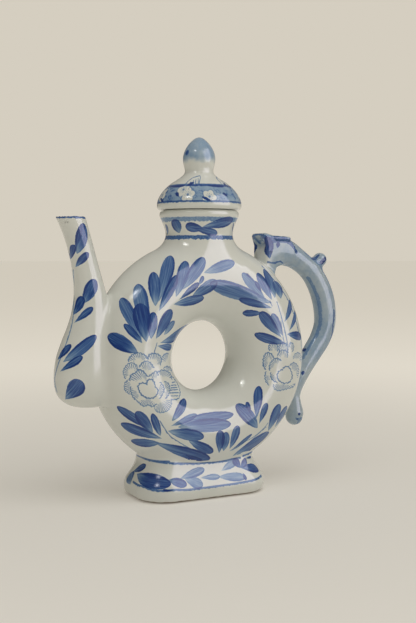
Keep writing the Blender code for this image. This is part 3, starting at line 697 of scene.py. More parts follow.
    (0.5, (34.2, -9.6), (33.7, -10.2), (33.7, -11.3), (33.1, -12.0), (33.5, -13.1), (33.2, -14.0),
     (33.9, -14.8), (33.8, -15.9), (34.6, -16.4), (34.9, -17.5), (35.6, -17.9)),
    (0.55, (37.1, -10.2), (36.8, -10.9), (37.1, -11.9), (36.8, -12.8), (37.6, -13.6), (37.8, -14.6),
     (38.7, -15.0), (39.3, -16.0), (40.3, -16.0), (41.2, -16.9)),
    (0.48, (38.7, -17.7), (38.4, -18.8), (39.0, -19.6), (39.1, -20.6), (40.4, -21.0), (41.2, -21.6),
     (42.6, -21.5), (43.6, -21.8), (44.9, -21.3), (46.1, -21.5), (47.3, -21.0), (48.9, -21.3), (49.9, -20.8),
     (52.0, -21.2), (53.1, -20.9), (55.6, -21.1), (56.0, -20.2), (57.9, -19.8), (57.7, -18.8)),
]
FOOT_LINES = [
    (1.0, (-57.5, 23.2), (-47.6, 22.9), (-36.2, 22.7), (-27.1, 22.6), (-26.2, 21.8), (-15.8, 20.7),
     (-8.2, 19.9), (-2.0, 19.7), (4.0, 19.5), (10.9, 19.7), (16.1, 20.3), (21.5, 20.6)),
    (1.0, (-58.8, 8.7), (-51.2, 8.4), (-45.1, 8.3), (-39.2, 7.3), (-34.3, 7.0), (-29.7, 7.2), (-24.8, 7.2),
     (-18.4, 6.5), (-9.2, 6.4), (0.8, 6.5), (11.0, 6.6), (21.4, 7.0), (32.0, 7.7), (37.0, 8.5)),
]
SPOUT_LINES = [
    (0.6, (-11.3, 135.4), (-13.8, 126.8), (-15.1, 118.2), (-15.2, 108.0), (-17.3, 98.4), (-20.5, 88.9),
     (-24.1, 79.7), (-25.9, 72.6), (-24.0, 65.7)),
]
HANDLE_LEAVES = [
    (2.6, 19.4, 4.5, 21.0, 0.8, 1.7),
    (2.2, 12.6, 6.8, 18.5, 2.0, 1.9),
    (14.8, 15.9, 12.3, 17.9, 0.3, 1.7),
    (-9.2, 114.1, -10.7, 111.7, 1.4, 1.9),
    (-1.6, 128.1, -2.7, 125.3, 1.4, 1.6),
    (-0.0, 154.4, 0.1, 152.2, 1.2, 1.8),
    (6.1, 155.4, -2.8, 155.4, 0.0, 1.6),
    (6.9, 50.8, 9.0, 53.1, 1.0, 1.7),
    (5.0, 45.0, 9.8, 48.7, 1.2, 1.0),
]
HANDLE_LINES = [
    (1.3, (6.0, 19.2), (5.0, 21.8), (4.7, 24.4), (3.9, 28.2), (1.4, 32.8)),
    (0.8, (2.6, 10.5), (-1.9, 11.7), (-5.6, 18.0)),
    (1.0, (3.2, 80.5), (2.5, 89.6), (6.0, 99.5)),
    (0.5, (12.5, 17.6), (11.5, 18.5), (7.9, 17.7), (6.5, 18.5)),
]


# ---------------------------------------------------------------- brush slots on face corners
class Paint:
    """Strokes held on face corners: each slot stores where the corner lies on one stroke."""

    def __init__(self, uv, leaves=4, lines=4, hatches=2):
        self.uv = uv                                  # faces x corners x 2
        self.c = uv.mean(1)
        self.r = np.abs(uv - self.c[:, None]).max((1, 2))
        k = uv.shape[:2]
        self.leaf = [np.zeros(k + (4,)) for _ in range(leaves)]
        self.line = [np.tile(np.array([0, 0, 0, -10.0]), k + (1,)) for _ in range(lines)]
        self.hatch = [np.zeros(k + (4,)) for _ in range(hatches)]
        self.nl = np.zeros(len(uv), int)
        self.nh = np.zeros(len(uv), int)
        self.used_hatch = 0
        self.ns = np.zeros(len(uv), int)
        self.seed = 1

    def _put(self, slots, used, idx, val):
        for k in range(len(slots)):
            m = used[idx] == k
            slots[k][idx[m]] = val[m]
        used[idx] += 1

    def leafs(self, rows, shift=(0.0, 0.0), flip=1.0, gain=1.0):
        for u0, v0, u1, v1, hw, tone in rows:
            self.seed += 1
            o = np.array([u0 * flip + shift[0], v0 + shift[1]])
            d = np.array([(u1 - u0) * flip, v1 - v0])
            ln = np.hypot(*d)
            t = d / ln
            n = np.array([-t[1], t[0]])
            w = self.c - o
            a, b = w @ t, w @ n
            m = (a > -0.5 - self.r) & (a < ln + 0.5 + self.r) & (np.abs(b) < hw * 1.15 + 0.5 + self.r * 1.5) \
                & (self.nl < len(self.leaf))
            idx = np.nonzero(m)[0]
            if not len(idx):
                continue
            rel = self.uv[idx] - o
            val = np.stack([rel @ t / ln, rel @ n, np.full(rel.shape[:2], hw),
                            np.full(rel.shape[:2], self.seed + min(tone * gain, 2.4) * 0.25)], -1)
            self._put(self.leaf, self.nl, idx, val)

    def lines(self, rows, shift=(0.0, 0.0), flip=1.0, scale=0.5, tone=1.2):
        for row in rows:
            hw = row[0] * scale
            pts = np.array(row[1:], float)
            if len(row) > 4 and np.hypot(*np.diff(pts, axis=0).T).mean() > 1.6:
                pts = catmull(row[1:], 3)
            for (u0, v0), (u1, v1) in zip(pts[:-1], pts[1:]):
                o = np.array([u0 * flip + shift[0], v0 + shift[1]])
                d = np.array([(u1 - u0) * flip, v1 - v0])
                ln = np.hypot(*d)
                if ln < 1e-6:
                    continue
                t = d / ln
                n = np.array([-t[1], t[0]])
                w = self.c - o
                a, b = w @ t, w @ n
                m = (a > -hw - 0.4 - self.r) & (a < ln + hw + 0.4 + self.r) \
                    & (np.abs(b) < hw + 0.4 + self.r * 1.5) & (self.ns < len(self.line))
                idx = np.nonzero(m)[0]
                if not len(idx):
                    continue
                rel = self.uv[idx] - o
                code = hw + 10.0 * round(tone * (0.55 + 0.5 * min(row[0], 1.0)) * 10)
                val = np.stack([rel @ t, rel @ n, np.full(rel.shape[:2], ln), np.full(rel.shape[:2], code)], -1)
                self._put(self.line, self.ns, idx, val)

    def petals(self, rows, flip=1.0):
        """Fine lines running in from a petal's rim: arc along it, depth inside it, how far they reach."""
        for ln, mid_, *rim in rows:
            o = np.array([mid_[0] * flip, mid_[1]])
            q = np.array(rim, float) * [flip, 1.0] - o
            th = np.unwrap(np.arctan2(q[:, 1], q[:, 0]))
            rr = np.hypot(q[:, 0], q[:, 1])
            if th[-1] < th[0]:
                th, rr = th[::-1], rr[::-1]
            keep = np.r_[True, np.diff(np.maximum.accumulate(th)) > 1e-3]
            th, rr = th[keep], rr[keep]
            w = self.c - o
            idx = np.nonzero((np.hypot(w[:, 0], w[:, 1]) < rr.max() + 1.0) & (self.nh < len(self.hatch)))[0]
            if not len(idx):
                continue
            rel = self.uv[idx] - o
            a = np.arctan2(rel[..., 1], rel[..., 0])
            ca = np.arctan2(*(w[idx][:, ::-1].T))[:, None]
            a = ca + (a - ca + math.pi) % (2 * math.pi) - math.pi
            c2 = ca + 2 * math.pi * np.round(((th[0] + th[-1]) / 2 - ca) / (2 * math.pi))
            a = a + (c2 - ca)
            d = np.interp(a, th, rr) - np.hypot(rel[..., 0], rel[..., 1])
            ok = ((a > th[0]) & (a < th[-1])).all(1) & (d.max(1) > 0) & (d.min(1) < 1.7 * ln + 1)
            if not ok.any():
                continue
            val = np.stack([a * rr.mean(), d, np.full(a.shape, ln), np.full(a.shape, 1.0)], -1)
            self._put(self.hatch, self.nh, idx[ok], val[ok])

    def store(self, me, off=None):
        """Write the used slots; the off argument is not used. Returns how many of each are used."""
        nl, ns = min(self.nl.max(initial=0), len(self.leaf)), min(self.ns.max(initial=0), len(self.line))
        nh = min(self.nh.max(initial=0), len(self.hatch))
        for kind, slots, n in (("leaf", self.leaf, nl), ("line", self.line, ns), ("hatch", self.hatch, nh)):
            for k in range(n):
                at = me.attributes.new(f"{kind}{k}", "FLOAT_COLOR", "CORNER")
                at.data.foreach_set("color", slots[k].reshape(-1).astype(np.float32))
        self.used_hatch = nh
        return nl, ns


def unwrap(uv, period):
    """Bring all corners of a face onto the same turn of a wrapped chart."""
    ref = uv[:, :1, 0]
    uv[:, :, 0] -= period * np.round((uv[:, :, 0] - ref) / period)
    return uv


def mesh_object(name, P, F, N=None, flat=None):
    """P in table mm; F an array of quads, or a list of faces."""
    me = bpy.data.meshes.new(name)
    W = world(P)
    if isinstance(F, np.ndarray):
        k = F.shape[1]
        me.vertices.add(len(W))
        me.vertices.foreach_set("co", W.reshape(-1).astype(np.float32))
        me.loops.add(F.size)
        me.loops.foreach_set("vertex_index", F.reshape(-1).astype(np.int32))
        me.polygons.add(len(F))
        me.polygons.foreach_set("loop_start", (np.arange(len(F)) * k).astype(np.int32))
        me.update(calc_edges=True)
    else:
        me.from_pydata(W.tolist(), [], F)
        me.update()
    me.shade_smooth()
    if N is not None:
        me.normals_split_custom_set_from_vertices(N.tolist())
    ob = bpy.data.objects.new(name, me)
    bpy.context.scene.collection.objects.link(ob)
    return ob


# ---------------------------------------------------------------- glaze materials
class Net:
    def __init__(self, name):
        self.mat = bpy.data.materials.new(name)
        self.mat.use_nodes = True
        self.t = self.mat.node_tree
        self.t.nodes.clear()
        self.out = self.t.nodes.new("ShaderNodeOutputMaterial")
        self.bsdf = self.t.nodes.new("ShaderNodeBsdfPrincipled")
        self.t.links.new(self.bsdf.outputs[0], self.out.inputs[0])

    def node(self, kind, **props):
        n = self.t.nodes.new(kind)
        for k, v in props.items():
            setattr(n, k, v)
        return n

    def put(self, sock, v):
        if hasattr(v, "is_output"):
            self.t.links.new(v, sock)
        else:
            sock.default_value = v

    def m(self, op, a, b=None, c=None, clamp=False):
        n = self.node("ShaderNodeMath", operation=op, use_clamp=clamp)
        for i, v in enumerate((a, b, c)):
            if v is not None:
                self.put(n.inputs[i], v)
        return n.outputs[0]

    def vec(self, x, y, z):
        n = self.node("ShaderNodeCombineXYZ")
        for i, v in enumerate((x, y, z)):
            self.put(n.inputs[i], v)
        return n.outputs[0]

    def sep(self, v):
        n = self.node("ShaderNodeSeparateXYZ")
        self.put(n.inputs[0], v)
        return n.outputs

    def smooth(self, v, lo, hi, a=0.0, b=1.0):
        n = self.node("ShaderNodeMapRange", interpolation_type="SMOOTHSTEP")
        for i, x in enumerate((v, lo, hi, a, b)):
            self.put(n.inputs[i], x)
        return n.outputs[0]

    def lin(self, v, lo, hi, a=0.0, b=1.0):
        n = self.node("ShaderNodeMapRange", interpolation_type="LINEAR")
        for i, x in enumerate((v, lo, hi, a, b)):
            self.put(n.inputs[i], x)
        return n.outputs[0]

    def noise(self, v, scale, detail=2.0, rough=0.5, dist=0.0):
        n = self.node("ShaderNodeTexNoise")
        self.put(n.inputs["Vector"], v)
        n.inputs["Scale"].default_value = scale
        n.inputs["Detail"].default_value = detail
        n.inputs["Roughness"].default_value = rough
        n.inputs["Distortion"].default_value = dist
        return n.outputs[0]

    def attr(self, name):
        return self.node("ShaderNodeAttribute", attribute_type="GEOMETRY", attribute_name=name).outputs


PORCELAIN = (0.765, 0.785, 0.745)
COBALT = (0.165, 0.305, 0.615)        # what one full coat of blue lets through


def glaze(name, nl=0, ns=0, nh=0, wash=False, depth=None, bare=None, tint=(1.0, 1.0, 1.0), rough=0.10):
    """Porcelain under clear glaze with cobalt brushwork.
    depth: function(net, object mm coords) -> extra blue; bare: function -> 0..1 unglazed clay, whose dark brown along
    the bottom of the foot also serves as painted contact shade."""
    g = Net(name)
    obj = g.node("ShaderNodeTexCoord").outputs["Object"]
    sc = g.node("ShaderNodeVectorMath", operation="SCALE")
    g.put(sc.inputs[0], obj)
    sc.inputs["Scale"].default_value = 1000.0
    P = sc.outputs[0]
    wob = g.m("SUBTRACT", g.noise(P, 0.55, 2.0), 0.5)
    fine = g.m("SUBTRACT", g.noise(P, 2.3, 2.0), 0.5)
    total = None
    peak = None
    for k in range(nl):
        at = g.attr(f"leaf{k}")
        p, q, hw = g.sep(at["Vector"])
        code = at["Alpha"]
        seed = g.m("FLOOR", code)
        tone = g.m("MULTIPLY", g.m("FRACT", code), 4.0)
        rnd = g.m("FRACT", g.m("MULTIPLY", g.m("SINE", g.m("MULTIPLY", seed, 12.9898)), 43758.5))
        pc = g.m("MINIMUM", g.m("MAXIMUM", p, 0.0005), 0.9995)
        pw = g.m("POWER", pc, g.lin(rnd, 0.0, 1.0, 0.66, 0.98))
        W = g.m("MULTIPLY", g.m("MULTIPLY", g.m("POWER", pw, 1.25), g.m("POWER", g.m("SUBTRACT", 1.0, pw), 0.55)), 3.02)
        W = g.m("MULTIPLY", W, hw)
        qa = g.m("ABSOLUTE", g.m("ADD", q, g.m("MULTIPLY", wob, 0.5)))
        dist = g.m("SUBTRACT", qa, g.m("ADD", W, g.m("MULTIPLY", fine, 0.35)))
        mask = g.smooth(dist, -0.16, 0.16, 1.0, 0.0)
        mask = g.m("MULTIPLY", mask, g.m("MULTIPLY", g.m("GREATER_THAN", p, 0.0), g.m("LESS_THAN", p, 1.0)))
        bristle = g.noise(g.vec(g.m("ADD", g.m("MULTIPLY", p, 1.6), g.m("MULTIPLY", seed, 7.13)),
                                g.m("MULTIPLY", q, 1.5), g.m("MULTIPLY", seed, 3.7)), 1.0, 3.0, 0.6)
        body = g.lin(bristle, 0.3, 0.7, 0.52, 1.22)
        # pigment settles along one edge of the stroke and thins towards the root
        side = g.m("SUBTRACT", g.m("GREATER_THAN", rnd, 0.45), 0.5)
        edge = g.smooth(g.m("ADD", dist, g.m("MULTIPLY", g.m("MULTIPLY", g.m("MULTIPLY", q, side), 2.0), -0.22)),
                        -1.2, -0.25, 0.0, 0.50)
        along = g.smooth(p, -0.05, 0.50, 0.30, 1.08)
        D = g.m("MULTIPLY", g.m("MULTIPLY", tone, mask), g.m("MULTIPLY", g.m("ADD", body, edge), along))
        total = D if total is None else g.m("ADD", total, D)
        peak = D if peak is None else g.m("MAXIMUM", peak, D)
    if nl > 1:                                        # a second coat adds less than the first
        total = g.m("ADD", g.m("MULTIPLY", peak, 0.70), g.m("MULTIPLY", total, 0.30))
    lmax = None
    for k in range(ns):
        at = g.attr(f"line{k}")
        a, b, ln = g.sep(at["Vector"])
        code = at["Alpha"]
        t10 = g.m("FLOOR", g.m("MULTIPLY", code, 0.1))
        tone = g.m("MAXIMUM", g.m("MULTIPLY", t10, 0.1), 0.0)
        hw = g.m("SUBTRACT", code, g.m("MULTIPLY", t10, 10.0))
        e = g.m("MAXIMUM", g.m("MAXIMUM", g.m("MULTIPLY", a, -1.0), g.m("SUBTRACT", a, ln)), 0.0)
        bw = g.m("ADD", b, g.m("MULTIPLY", wob, 0.7))
        dist = g.m("SUBTRACT", g.m("SQRT", g.m("ADD", g.m("MULTIPLY", e, e), g.m("MULTIPLY", bw, bw))),
                   g.m("MULTIPLY", hw, g.m("ADD", 1.0, g.m("MULTIPLY", wob, 1.3))))
        L = g.m("MULTIPLY", g.smooth(dist, -0.17, 0.17, 1.0, 0.0), tone)
        lmax = L if lmax is None else g.m("MAXIMUM", lmax, L)
    for k in range(nh):
        at = g.attr(f"hatch{k}")
        a, d, ln = g.sep(at["Vector"])
        s1 = g.m("DIVIDE", g.m("ADD", a, g.m("MULTIPLY", wob, 0.9)), 1.2)
        cell = g.m("FLOOR", s1)
        rn = g.m("FRACT", g.m("MULTIPLY", g.m("SINE", g.m("MULTIPLY", cell, 12.9898)), 437.58))
        off = g.m("MULTIPLY", g.m("ABSOLUTE", g.m("SUBTRACT", g.m("SUBTRACT", s1, cell), 0.5)), 1.2)
        reach = g.m("MULTIPLY", ln, g.lin(rn, 0.0, 1.0, 1.0, 1.7))
        L = g.m("MULTIPLY", g.smooth(off, 0.16, 0.38, 1.0, 0.0), g.smooth(g.m("DIVIDE", d, reach), 0.55, 1.0, 1.0, 0.0))
        L = g.m("MULTIPLY", g.m("MULTIPLY", L, g.smooth(d, 0.0, 0.25)), g.m("MULTIPLY", at["Alpha"], 0.85))
        lmax = L if lmax is None else g.m("MAXIMUM", lmax, L)
    if lmax is not None:
        lmax = g.m("MULTIPLY", lmax, g.lin(g.noise(P, 0.9, 2.0), 0.3, 0.7, 0.7, 1.2))
        total = lmax if total is None else g.m("ADD", total, lmax)
    if depth is not None:
        D = depth(g, P)
        total = D if total is None else g.m("ADD", total, D)
    # bluish-white body colour with slow clouding and a few iron specks
    cloud = g.lin(g.noise(P, 0.035, 3.0), 0.35, 0.65, 0.965, 1.02)
    speck = g.smooth(g.noise(P, 1.7, 1.0), 0.80, 0.86, 1.0, 0.72)
    if total is None:
        total = g.m("MULTIPLY", g.m("ADD", wob, 0.5), 0.02)
    else:
        total = g.m("MINIMUM", total, 2.4)
    chans = []
    for i in range(3):
        tr = g.m("POWER", COBALT[i], total)
        chans.append(g.m("MULTIPLY", g.m("MULTIPLY", tr, PORCELAIN[i] * tint[i]),
                         g.m("MULTIPLY", cloud, speck) if i else cloud))
    cc = g.node("ShaderNodeCombineColor")
    for i in range(3):
        g.put(cc.inputs[i], chans[i])
    col = cc.outputs[0]
    ro = g.lin(g.noise(P, 0.12, 3.0), 0.3, 0.7, rough * 0.8, rough * 1.35)
    if bare is not None:
        bare_clay_and_shade_mask = bare(g, P)
        mix = g.node("ShaderNodeMix", data_type="RGBA")
        g.put(mix.inputs[0], bare_clay_and_shade_mask)
        g.put(mix.inputs[6], col)
        # dark brown of the bare clay; along the bottom of the foot this darkness also stands in for the contact shade
        # under it (painted shade)
        clay = g.node("ShaderNodeMix", data_type="RGBA")
        g.put(clay.inputs[0], g.noise(P, 0.8, 4.0, 0.65))
        clay.inputs[6].default_value = (0.085, 0.06, 0.035, 1)
        clay.inputs[7].default_value = (0.22, 0.16, 0.10, 1)
        g.put(mix.inputs[7], clay.outputs[2])
        col = mix.outputs[2]
        ro = g.m("ADD", ro, g.m("MULTIPLY", bare_clay_and_shade_mask, 0.62))
    g.put(g.bsdf.inputs["Base Color"], col)
    g.put(g.bsdf.inputs["Roughness"], ro)
    g.bsdf.inputs["IOR"].default_value = 1.5
    g.bsdf.inputs["Specular IOR Level"].default_value = 0.55
    # hand-dipped unevenness of the glaze
    hgt = g.m("ADD", g.m("MULTIPLY", g.noise(P, 0.05, 2.0), 1.0), g.m("MULTIPLY", g.noise(P, 0.35, 2.0), 0.08))
    bump = g.node("ShaderNodeBump")
    bump.inputs["Strength"].default_value = 0.35
    bump.inputs["Distance"].default_value = 0.0007
    g.put(bump.inputs["Height"], hgt)
    g.put(g.bsdf.inputs["Normal"], bump.outputs[0])
    return g.mat


# ---------------------------------------------------------------- the fired body
H = 0.95
V, Fc, N = surface(vessel, (-98, -28, -3), (106, 28, 174), H, relax=1)
mid = V[Fc].mean(1)
FAR = 40.0
parts = {
    "ring": torus(mid, TUBE_R),
    "neck": boxed(neck, mid, *BOX["neck"], far=FAR),
    "foot": boxed(foot, mid, *BOX["foot"], far=FAR),
    "spout": boxed(spout, mid, *BOX["spout"], far=FAR),
    "handle": boxed(handle, mid, *BOX["handle"], far=FAR),
}
names = list(parts)
label = np.argmin(np.stack([parts[k] for k in names], 1), 1)
own = np.min(np.stack([parts[k] for k in names], 1), 1)
rho_mid = np.hypot(mid[:, 0], mid[:, 1])
outside = np.where(label == 0, own > -1.6, True)
outside &= np.where(label == 1, rho_mid > 18.2, True)
outside &= np.where(label == 3, own > -0.9, True)


def fold(P):
    return P * np.array([1.0, 1.0, 1.0]) * np.array([1, 0, 1]) + np.stack([np.zeros(len(P)), -np.abs(P[:, 1]), np.zeros(len(P))], -1)


def piece(name, sel, chart=None, period=None, paint=None, slots=5, **mat):
    F = Fc[sel]
    ids, inv = np.unique(F, return_inverse=True)
    F2 = inv.reshape(F.shape)
    ob = mesh_object(name, V[ids], F2, N[ids])
    nl = ns = nh = 0
    if chart is not None:
        uv = chart(V[ids])[F2]
        if period:
            uv = unwrap(uv, period)
        uv[~outside[sel]] += 1e4                      # nothing is painted inside
        pt = Paint(uv, 4, slots)
        paint(pt)
        nl, ns = pt.store(ob.data)
        nh = pt.used_hatch
    ob.data.materials.append(glaze(name + "_mat", nl, ns, nh, **mat))
    return ob


def paint_ring(pt):
    pt.leafs(RING_LEAVES)
    pt.lines(RING_LINES)
    pt.petals(PETALS)


def paint_ring_back(pt):
    pt.seed = 150
    pt.leafs(RING_LEAVES, flip=-1.0)
    pt.lines(RING_LINES, flip=-1.0)
    pt.petals(PETALS, flip=-1.0)


def paint_neck(pt):
    full = 2 * math.pi * 20.0
    for sh in (-full / 2, 0.0, full / 2):
        pt.leafs(NECK_LEAVES, shift=(sh, 0))
    pt.lines([(1.0, (-full, 165.3), (full, 165.3))], scale=1.25, tone=0.75)
    pt.lines([(1.0, (-full, 154.6), (full, 154.6))], scale=1.15, tone=1.35)


def paint_foot(pt):
    for sh in (-119.6, 0.0, 119.6):
        pt.leafs(FOOT_LEAVES, shift=(sh, 0))
        pt.lines(FOOT_LINES, shift=(sh, 0), scale=0.6)
    for s in (-1, 1):                                 # the two long lines carried round the ends
        pt.lines([(1.0, (s * 24.0, 21.5), (s * 40, 22.5), (s * 59.8, 23.2), (s * 80, 22.5), (s * 95.6, 21.5))], scale=0.6)


def paint_spout(pt):
    pt.leafs(SPOUT_LEAVES)
    pt.lines(SPOUT_LINES, scale=0.6, tone=0.9)
    pt.lines([(1.0, (-40.0, 165.5), (40.0, 165.5))], scale=0.75, tone=1.6)


def paint_handle(pt):
    pt.leafs(HANDLE_LEAVES)
    pt.lines(HANDLE_LINES, scale=0.7, tone=1.2)
    pt.lines([(1.0, (6.6, 40.0), (6.6, 60.0), (6.6, 85.0), (6.8, 110.0), (7.0, 132.0))], scale=1.3, tone=0.42)
    # broad faint blue band down the inner side of the handle: blue pooled there, and painted shade on that side as well
    pt.lines([(1.0, (-7.0, 52.0), (-7.0, 70.0), (-7.2, 90.0), (-7.8, 118.0))], scale=1.2, tone=0.5)


def handle_wash(g, P):
    x, y, z = g.sep(P)
    n1 = g.m("MULTIPLY", g.lin(g.noise(P, 0.09, 3.0), 0.3, 0.7, 0.22, 0.48), g.smooth(z, 35.0, 85.0, 0.72, 1.0))
    n2 = g.lin(g.noise(P, 0.5, 3.0, 0.6), 0.3, 0.7, 0.85, 1.15)
    # the bare throat under the head keeps only a trace of blue
    throat = g.smooth(g.m("ADD", x, g.m("MULTIPLY", z, 0.0)), 44.0 + AXIS_X, 49.5 + AXIS_X)
    low = g.smooth(z, 149.0, 153.0)
    keep = g.m("MAXIMUM", throat, low)
    return g.m("MULTIPLY", g.m("MULTIPLY", n1, n2), g.lin(keep, 0.0, 1.0, 0.10, 1.0))


def foot_bare_clay_and_contact_shade(g, P):
    # bare clay round the very bottom of the foot, also a painted contact shade where the foot meets the floor
    x, y, z = g.sep(P)
    return g.smooth(g.m("ADD", z, g.m("MULTIPLY", g.m("SUBTRACT", g.noise(P, 0.35, 2.0), 0.5), 0.9)), 1.0, 1.5, 1.0, 0.0)


is_ring = label == 0
front = piece("ewer_ring_front", is_ring & (mid[:, 1] < 0), chart_ring, None, paint_ring, slots=6)
back = piece("ewer_ring_back", is_ring & (mid[:, 1] >= 0), chart_ring, None, paint_ring_back, slots=6)
collar = piece("ewer_neck_collar", label == 1, lambda P: chart_turned(P, 20.0), 2 * math.pi * 20, paint_neck)
base = piece("ewer_foot_ring", label == 2, chart_foot, 239.2, paint_foot, bare=foot_bare_clay_and_contact_shade, rough=0.15)
pour = piece("ewer_spout", label == 3, lambda P: chart_spout(fold(P)), None, paint_spout)
dragon = piece("ewer_dragon_handle", label == 4, lambda P: chart_handle(fold(P)), None, paint_handle,
               depth=handle_wash, rough=0.13, tint=(0.86, 0.86, 0.86))
for ob, node, slot in ((front, "ring_body_front", "body_glaze"), (back, "ring_body_back", "body_glaze"),
                       (collar, "neck_collar", "neck_glaze"), (base, "foot_ring", "foot_glaze"),
                       (pour, "spout", "spout_glaze"), (dragon, "dragon_handle", "handle_glaze")):
    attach(ob, "vessel")
    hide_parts(node)


# ---------------------------------------------------------------- the lid
def turned(name, runs, segs=168):
    """Turned closed piece. runs: smooth stretches of (r, z) that meet at crisp corners."""
    prof = []
    for run in runs:
        c = catmull(run, 5)
        prof += [tuple(p) for p in (c if not prof else c[1:])]
    prof = [(max(r, 0.0), z) for r, z in prof]
    ang = np.arange(segs) * 2 * math.pi / segs
    V, F, rows = [], [], []
    for r, z in prof:
        if r < 1e-4:
            rows.append([len(V)])
            V.append((0.0, 0.0, z))
        else:
            rows.append(list(range(len(V), len(V) + segs)))
            V += [(r * math.sin(a), -r * math.cos(a), z) for a in ang]
    closed = len(rows[0]) > 1 and len(rows[-1]) > 1
    pairs = list(zip(rows[:-1], rows[1:]))
    if closed:
        pairs.append((rows[-1], rows[0]))
    for A, B in pairs:
        for k in range(segs):
            j = (k + 1) % segs
            if len(A) == 1 and len(B) == 1:
                continue
            if len(A) == 1:
                F.append((A[0], B[j], B[k]))
            elif len(B) == 1:
                F.append((A[k], A[j], B[0]))
            else:
                F.append((A[k], A[j], B[j], B[k]))
    ob = mesh_object(name, np.array(V), [tuple(f) for f in F])
    me = ob.data
    me.set_sharp_from_angle(angle=math.radians(50))
    return ob


def turned_paint(ob, paint, r=20.0):
    me = ob.data
    co = np.zeros(len(me.vertices) * 3)
    me.vertices.foreach_get("co", co)
    co = co.reshape(-1, 3) / MM - np.array([AXIS_X, 0, LIFT])
    tri = [len(p.vertices) for p in me.polygons]
    uvs = np.zeros((len(tri), 4, 2))
    ch = chart_turned(co, r)
    for i, p in enumerate(me.polygons):
        vs = list(p.vertices)
        vs4 = vs + [vs[-1]] * (4 - len(vs))
        uvs[i] = ch[vs4]
    uvs = unwrap(uvs, 2 * math.pi * r)
    pt = Paint(uvs, 3, 4)
    paint(pt)
    nl, ns = min(pt.nl.max(initial=0), 3), min(pt.ns.max(initial=0), 4)
    for kind, slots, n in (("leaf", pt.leaf, nl), ("line", pt.line, ns)):
        for k in range(n):
            at = me.attributes.new(f"{kind}{k}", "FLOAT_COLOR", "CORNER")
            flat = np.concatenate([slots[k][i][:c] for i, c in enumerate(tri)])
            at.data.foreach_set("color", flat.reshape(-1).astype(np.float32))
    return nl, ns


dome = turned("ewer_lid_dome", [
    [(0, 188.6), (5.5, 188.2), (9.5, 185.6), (11.8, 181), (12.6, 176), (12.9, 171.4)],
    [(12.9, 171.4), (18.0, 171.4), (24.0, 171.4)],
    [(24.0, 171.4), (24.9, 171.75), (25.5, 172.7), (25.75, 174.3), (25.45, 176.7), (24.4, 179.3), (22.6, 182.1),
     (20.2, 184.8), (17.1, 187.4), (13.9, 189.5), (11.4, 191.2), (9.9, 192.5), (9.05, 193.55)],
    [(9.05, 193.55), (5.0, 193.6), (0, 193.6)]])
skirt = turned("ewer_lid_flange", [
    [(15.5, 171.1), (15.5, 168.0), (15.45, 165.0), (15.2, 164.1), (14.6, 163.5)],
    [(14.6, 163.5), (13.6, 163.45), (12.95, 163.9), (12.9, 165.0), (12.9, 171.1)]])
knob = turned("ewer_lid_finial", [
    [(0, 193.62), (5.0, 193.62), (9.08, 193.57)],
    [(9.08, 193.57), (8.7, 194.7), (8.75, 196.2), (9.2, 198.2), (9.7, 200.4), (9.85, 202.3), (9.7, 204.2),
     (9.05, 206.6), (7.9, 209.0), (6.25, 211.4), (4.2, 213.5), (2.1, 215.0), (0, 215.6)]])

FULL = 2 * math.pi * 20.0
BLOOMS = [(-32.7, 179.8), (-18.0, 182.6), (-15.0, 179.5), (-4.5, 178.2), (20.0, 179.0),
          (31.5, 182.0), (42.5, 179.6), (54.0, 181.8), (-46.0, 181.5), (-57.5, 179.2)]


def lid_leaves(pt):
    pt.leafs(LID_LEAVES)
    n = 5
    for k in range(n):
        sh = FULL * k / n
        for w in (sh, sh - FULL):
            if k:
                pt.leafs(LID_LEAVES, shift=(w, 0))
            pt.lines(LID_LINES, shift=(w, 0), scale=0.5, tone=1.5)
    pt.lines([(1.0, (-FULL, 185.5), (FULL, 185.5))], scale=0.75, tone=1.35)
    pt.lines([(1.0, (-FULL, 175.5), (FULL, 175.5))], scale=0.55, tone=1.05)


def store_blooms(ob):
    """Five-petalled flowers left white in the blue band: offset from the nearest flower's middle."""
    me = ob.data
    co = np.zeros(len(me.vertices) * 3)
    me.vertices.foreach_get("co", co)
    co = co.reshape(-1, 3) / MM - np.array([AXIS_X, 0, LIFT])
    ch = chart_turned(co, 24.5)
    vals = []
    for p in me.polygons:
        q = ch[list(p.vertices)]
        q[:, 0] -= 2 * math.pi * 24.5 * np.round((q[:, 0] - q[0, 0]) / (2 * math.pi * 24.5))
        c = q.mean(0)
        best, off = 1e9, None
        for i, (bu, bv) in enumerate(BLOOMS):
            bu2 = bu * 24.5 / 20.0
            du = c[0] - bu2
            wrap = 2 * math.pi * 24.5 * round(du / (2 * math.pi * 24.5))
            d = math.hypot(du - wrap, c[1] - bv)
            if d < best:
                best, off = d, (bu2 + wrap, bv, i)
        for a in q:
            vals.append((a[0] - off[0], a[1] - off[1], 0.5 + off[2], 1.0))
    at = me.attributes.new("bloom", "FLOAT_COLOR", "CORNER")
    at.data.foreach_set("color", np.array(vals, np.float32).reshape(-1))


